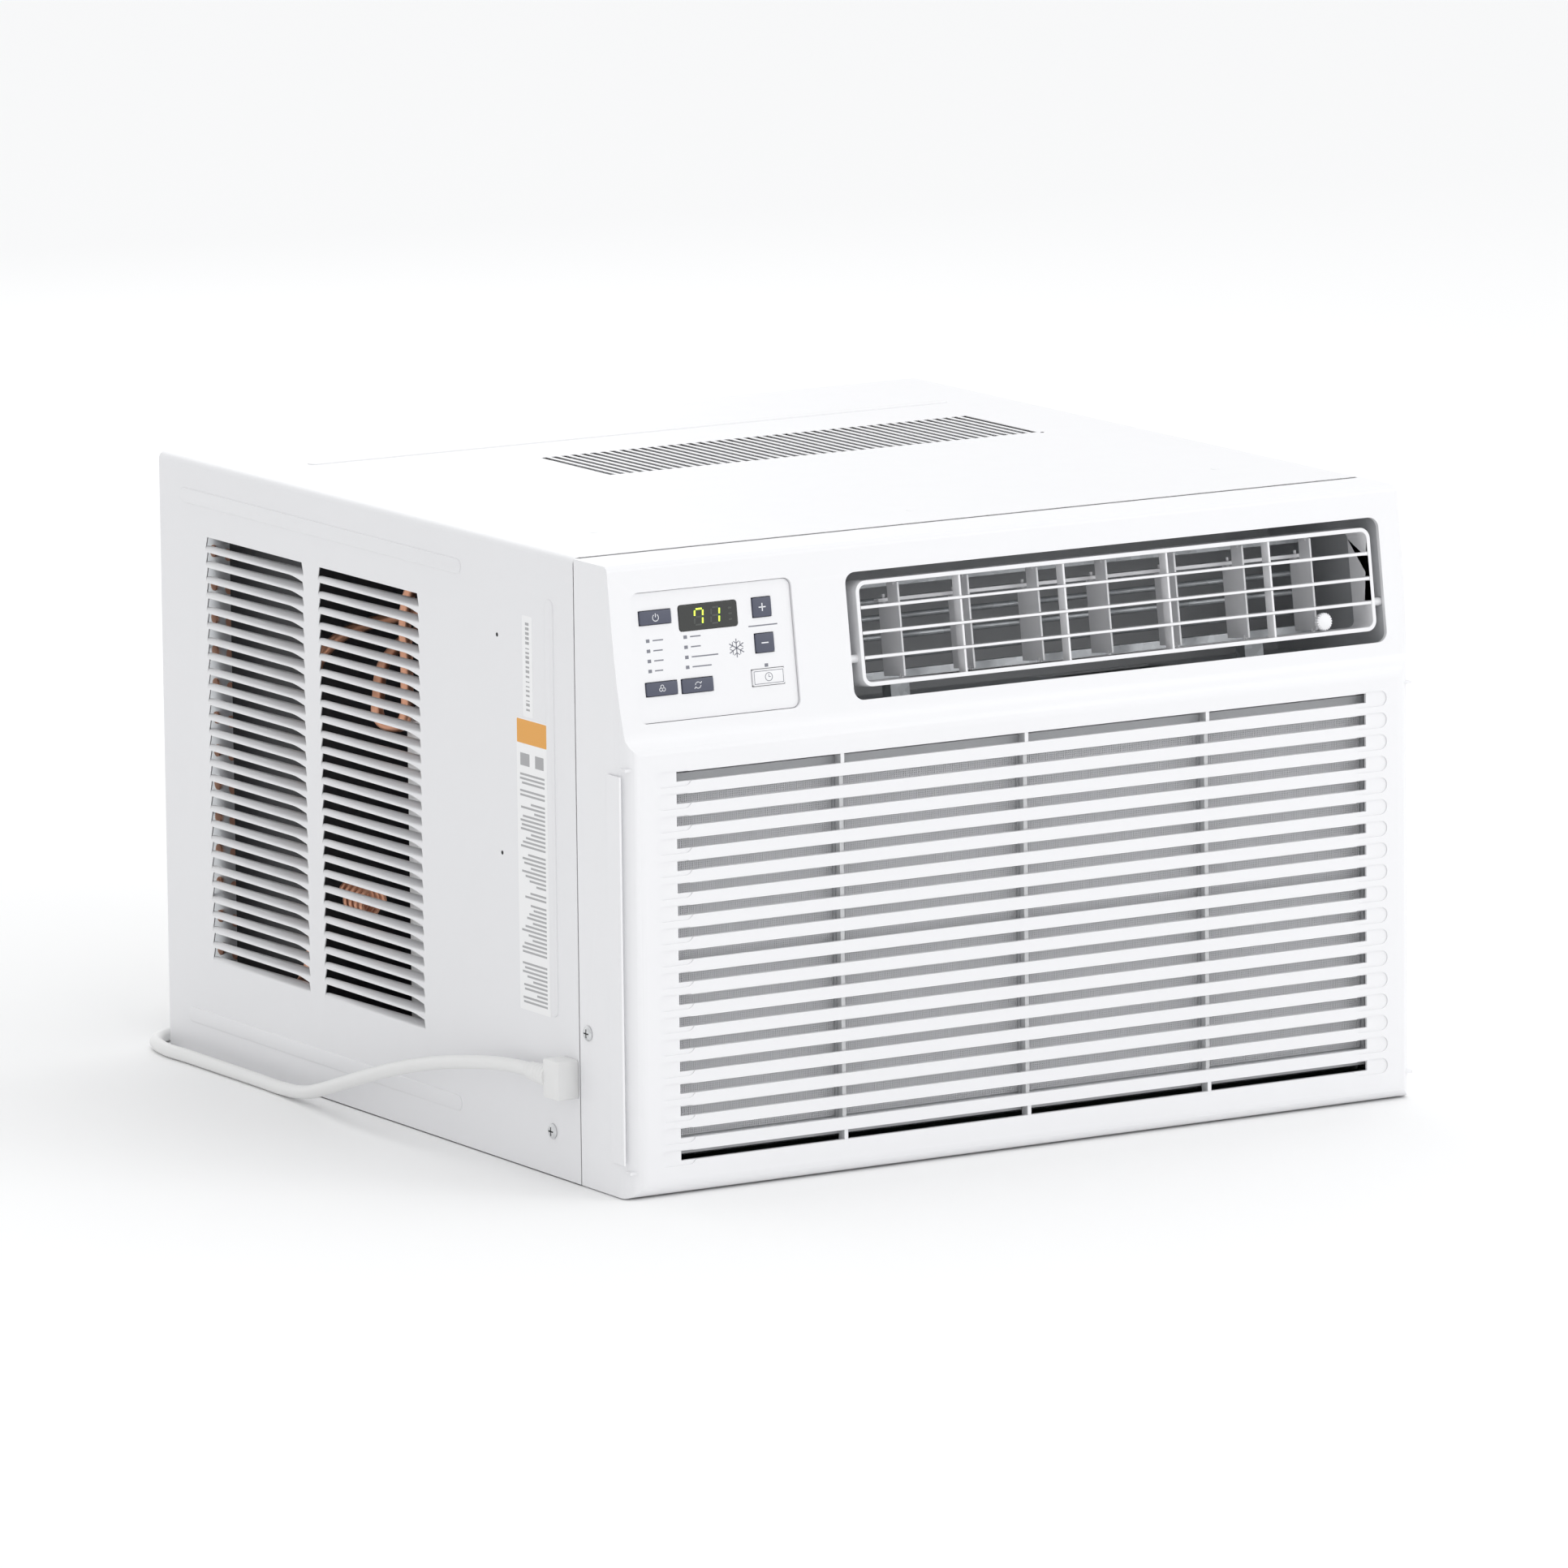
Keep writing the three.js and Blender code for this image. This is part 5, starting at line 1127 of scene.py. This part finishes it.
# ---------------------------------------------------------------- screws and labels
def screws():
    for node in ("panel_screw_left", "panel_screw_right", "cabinet_screw_left", "cabinet_screw_right"):
        low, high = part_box(node)
        side = -1 if low.x < 0 else 1
        y, z = (low.y + high.y) / 2, (low.z + high.z) / 2
        head = LEFT if side < 0 else RIGHT
        bm = bmesh.new()
        turned(bm, [(0, -7.5 * MM), (1.9 * MM, -7 * MM), (1.9 * MM, 0.2 * MM), (5.5 * MM, 0.25 * MM),
                    (5.5 * MM, 0.7 * MM), (4.7 * MM, 1.6 * MM), (2.6 * MM, 2.15 * MM), (0, 2.2 * MM)],
               (head, y, z), (side, 0, 0), 28)
        make_piece(bm, f"{node}_turned", BRIGHT_STEEL, "chassis", [node])
        # A dark cross just proud of the screw head: painted shade in its cross recess, which is not
        # cut.
        cross = bmesh.new()
        for wide, tall in ((3.1, 0.5), (0.5, 3.1)):
            x0, x1 = sorted((head + side * 1.2 * MM, head + side * 2.26 * MM))
            block(cross, (x0, y - wide * MM, z - tall * MM), (x1, y + wide * MM, z + tall * MM),
                  corner=0.2 * MM, axis=0)
        make_piece(cross, f"{node}_recess", SEAM_BLACK_AND_HOLE_SHADE, "chassis")


def labels():
    """The rating and care labels on the left wall, with plain lines where words would be."""
    random.seed(7)
    y = lambda behind: SEAM + behind * MM
    face = LEFT - 0.12 * MM
    film = bmesh.new()
    block(film, (face, y(41), 115 * MM), (LEFT + 0.2 * MM, y(84), 325 * MM), corner=1 * MM, axis=0)
    block(film, (face, y(60), 326.5 * MM), (LEFT + 0.2 * MM, y(74), 399 * MM), corner=1 * MM, axis=0)
    make_piece(film, "side_labels", PAPER, "chassis")
    amber = bmesh.new()
    block(amber, (face - 0.04 * MM, y(41.6), 307 * MM), (LEFT, y(83.4), 324.2 * MM),
          corner=0.8 * MM, axis=0)
    make_piece(amber, "label_band", AMBER, "chassis")
    ink = bmesh.new()
    line = lambda near, far, z, tall: cube(
        ink, (face - 0.05 * MM, y(near), z * MM), (LEFT, y(far), (z + tall) * MM))
    for near, far in ((46, 58), (66, 79)):
        line(near, far, 291, 9)
    z = 284.0
    while z > 119:
        if random.random() < 0.12:
            z -= 2.6
            continue
        line(45, 80 - random.random() ** 2 * 22, z, 1.5)
        z -= 3.1
    for i in range(19):
        tall = random.choice((0.8, 1.4, 2.0))
        line(64.5, 69.5, 331 + i * 3.4, tall)
    make_piece(ink, "label_lines", LABEL_INK, "chassis")


# ---------------------------------------------------------------- the rest of the frame
def dress_frame():
    for name, node in frame["nodes"].items():
        node.data.materials.clear()
        node.data.materials.append(SLOT_FINISH[NODE_SLOT[name]])


# ---------------------------------------------------------------- stage
def studio_world():
    """White all round, a little darker from the left so that the two walls part."""
    world = bpy.data.worlds.new("studio")
    world.use_nodes = True
    tree = world.node_tree
    side = tree.nodes.new("ShaderNodeVectorMath")
    side.operation = "DOT_PRODUCT"
    side.inputs[1].default_value = (-0.93, -0.1, 0.1)
    tree.links.new(tree.nodes.new("ShaderNodeTexCoord").outputs["Generated"], side.inputs[0])
    fade = tree.nodes.new("ShaderNodeMapRange")
    fade.interpolation_type = "SMOOTHSTEP"
    fade.inputs["From Min"].default_value = 0.1
    fade.inputs["From Max"].default_value = 0.9
    fade.inputs["To Min"].default_value = 1.06
    fade.inputs["To Max"].default_value = 0.82
    tree.links.new(side.outputs["Value"], fade.inputs["Value"])
    tree.nodes["Background"].inputs["Color"].default_value = (0.99, 0.995, 1, 1)
    tree.links.new(fade.outputs["Result"], tree.nodes["Background"].inputs["Strength"])
    return world


def stage():
    bm = bmesh.new()
    bmesh.ops.create_grid(bm, x_segments=1, y_segments=1, size=20)
    mesh = bpy.data.meshes.new("floor")
    bm.to_mesh(mesh)
    bm.free()
    pale = bpy.data.materials.new("pale floor")
    pale.use_nodes = True
    pale.node_tree.nodes["Principled BSDF"].inputs["Base Color"].default_value = (0.93, 0.93, 0.93, 1)
    pale.node_tree.nodes["Principled BSDF"].inputs["Roughness"].default_value = 0.9
    mesh.materials.append(pale)
    floor = bpy.data.objects.new("floor", mesh)
    bpy.context.collection.objects.link(floor)
    bpy.context.scene.world = studio_world()
    for name, place, size, power in (
        ("overhead", (0.4, -0.2, 3.2), 2.4, 9),
        ("front right", (2.4, -3.6, 2.0), 1.8, 26),
        ("behind", (0.8, 3.6, 2.0), 2.4, 10),
    ):
        data = bpy.data.lights.new(name, "AREA")
        data.size = size
        data.energy = power
        light = bpy.data.objects.new(name, data)
        light.location = place
        aim = Vector((0, 0, 0.2)) - Vector(place)
        light.rotation_euler = aim.to_track_quat("-Z", "Y").to_euler()
        bpy.context.collection.objects.link(light)
    bpy.context.scene.view_settings.view_transform = "Standard"


camera()
mains_lead()
dress_frame()
cabinet()
front_panel()
air_filter()
outlet()
controls()
insides()
screws()
labels()
stage()
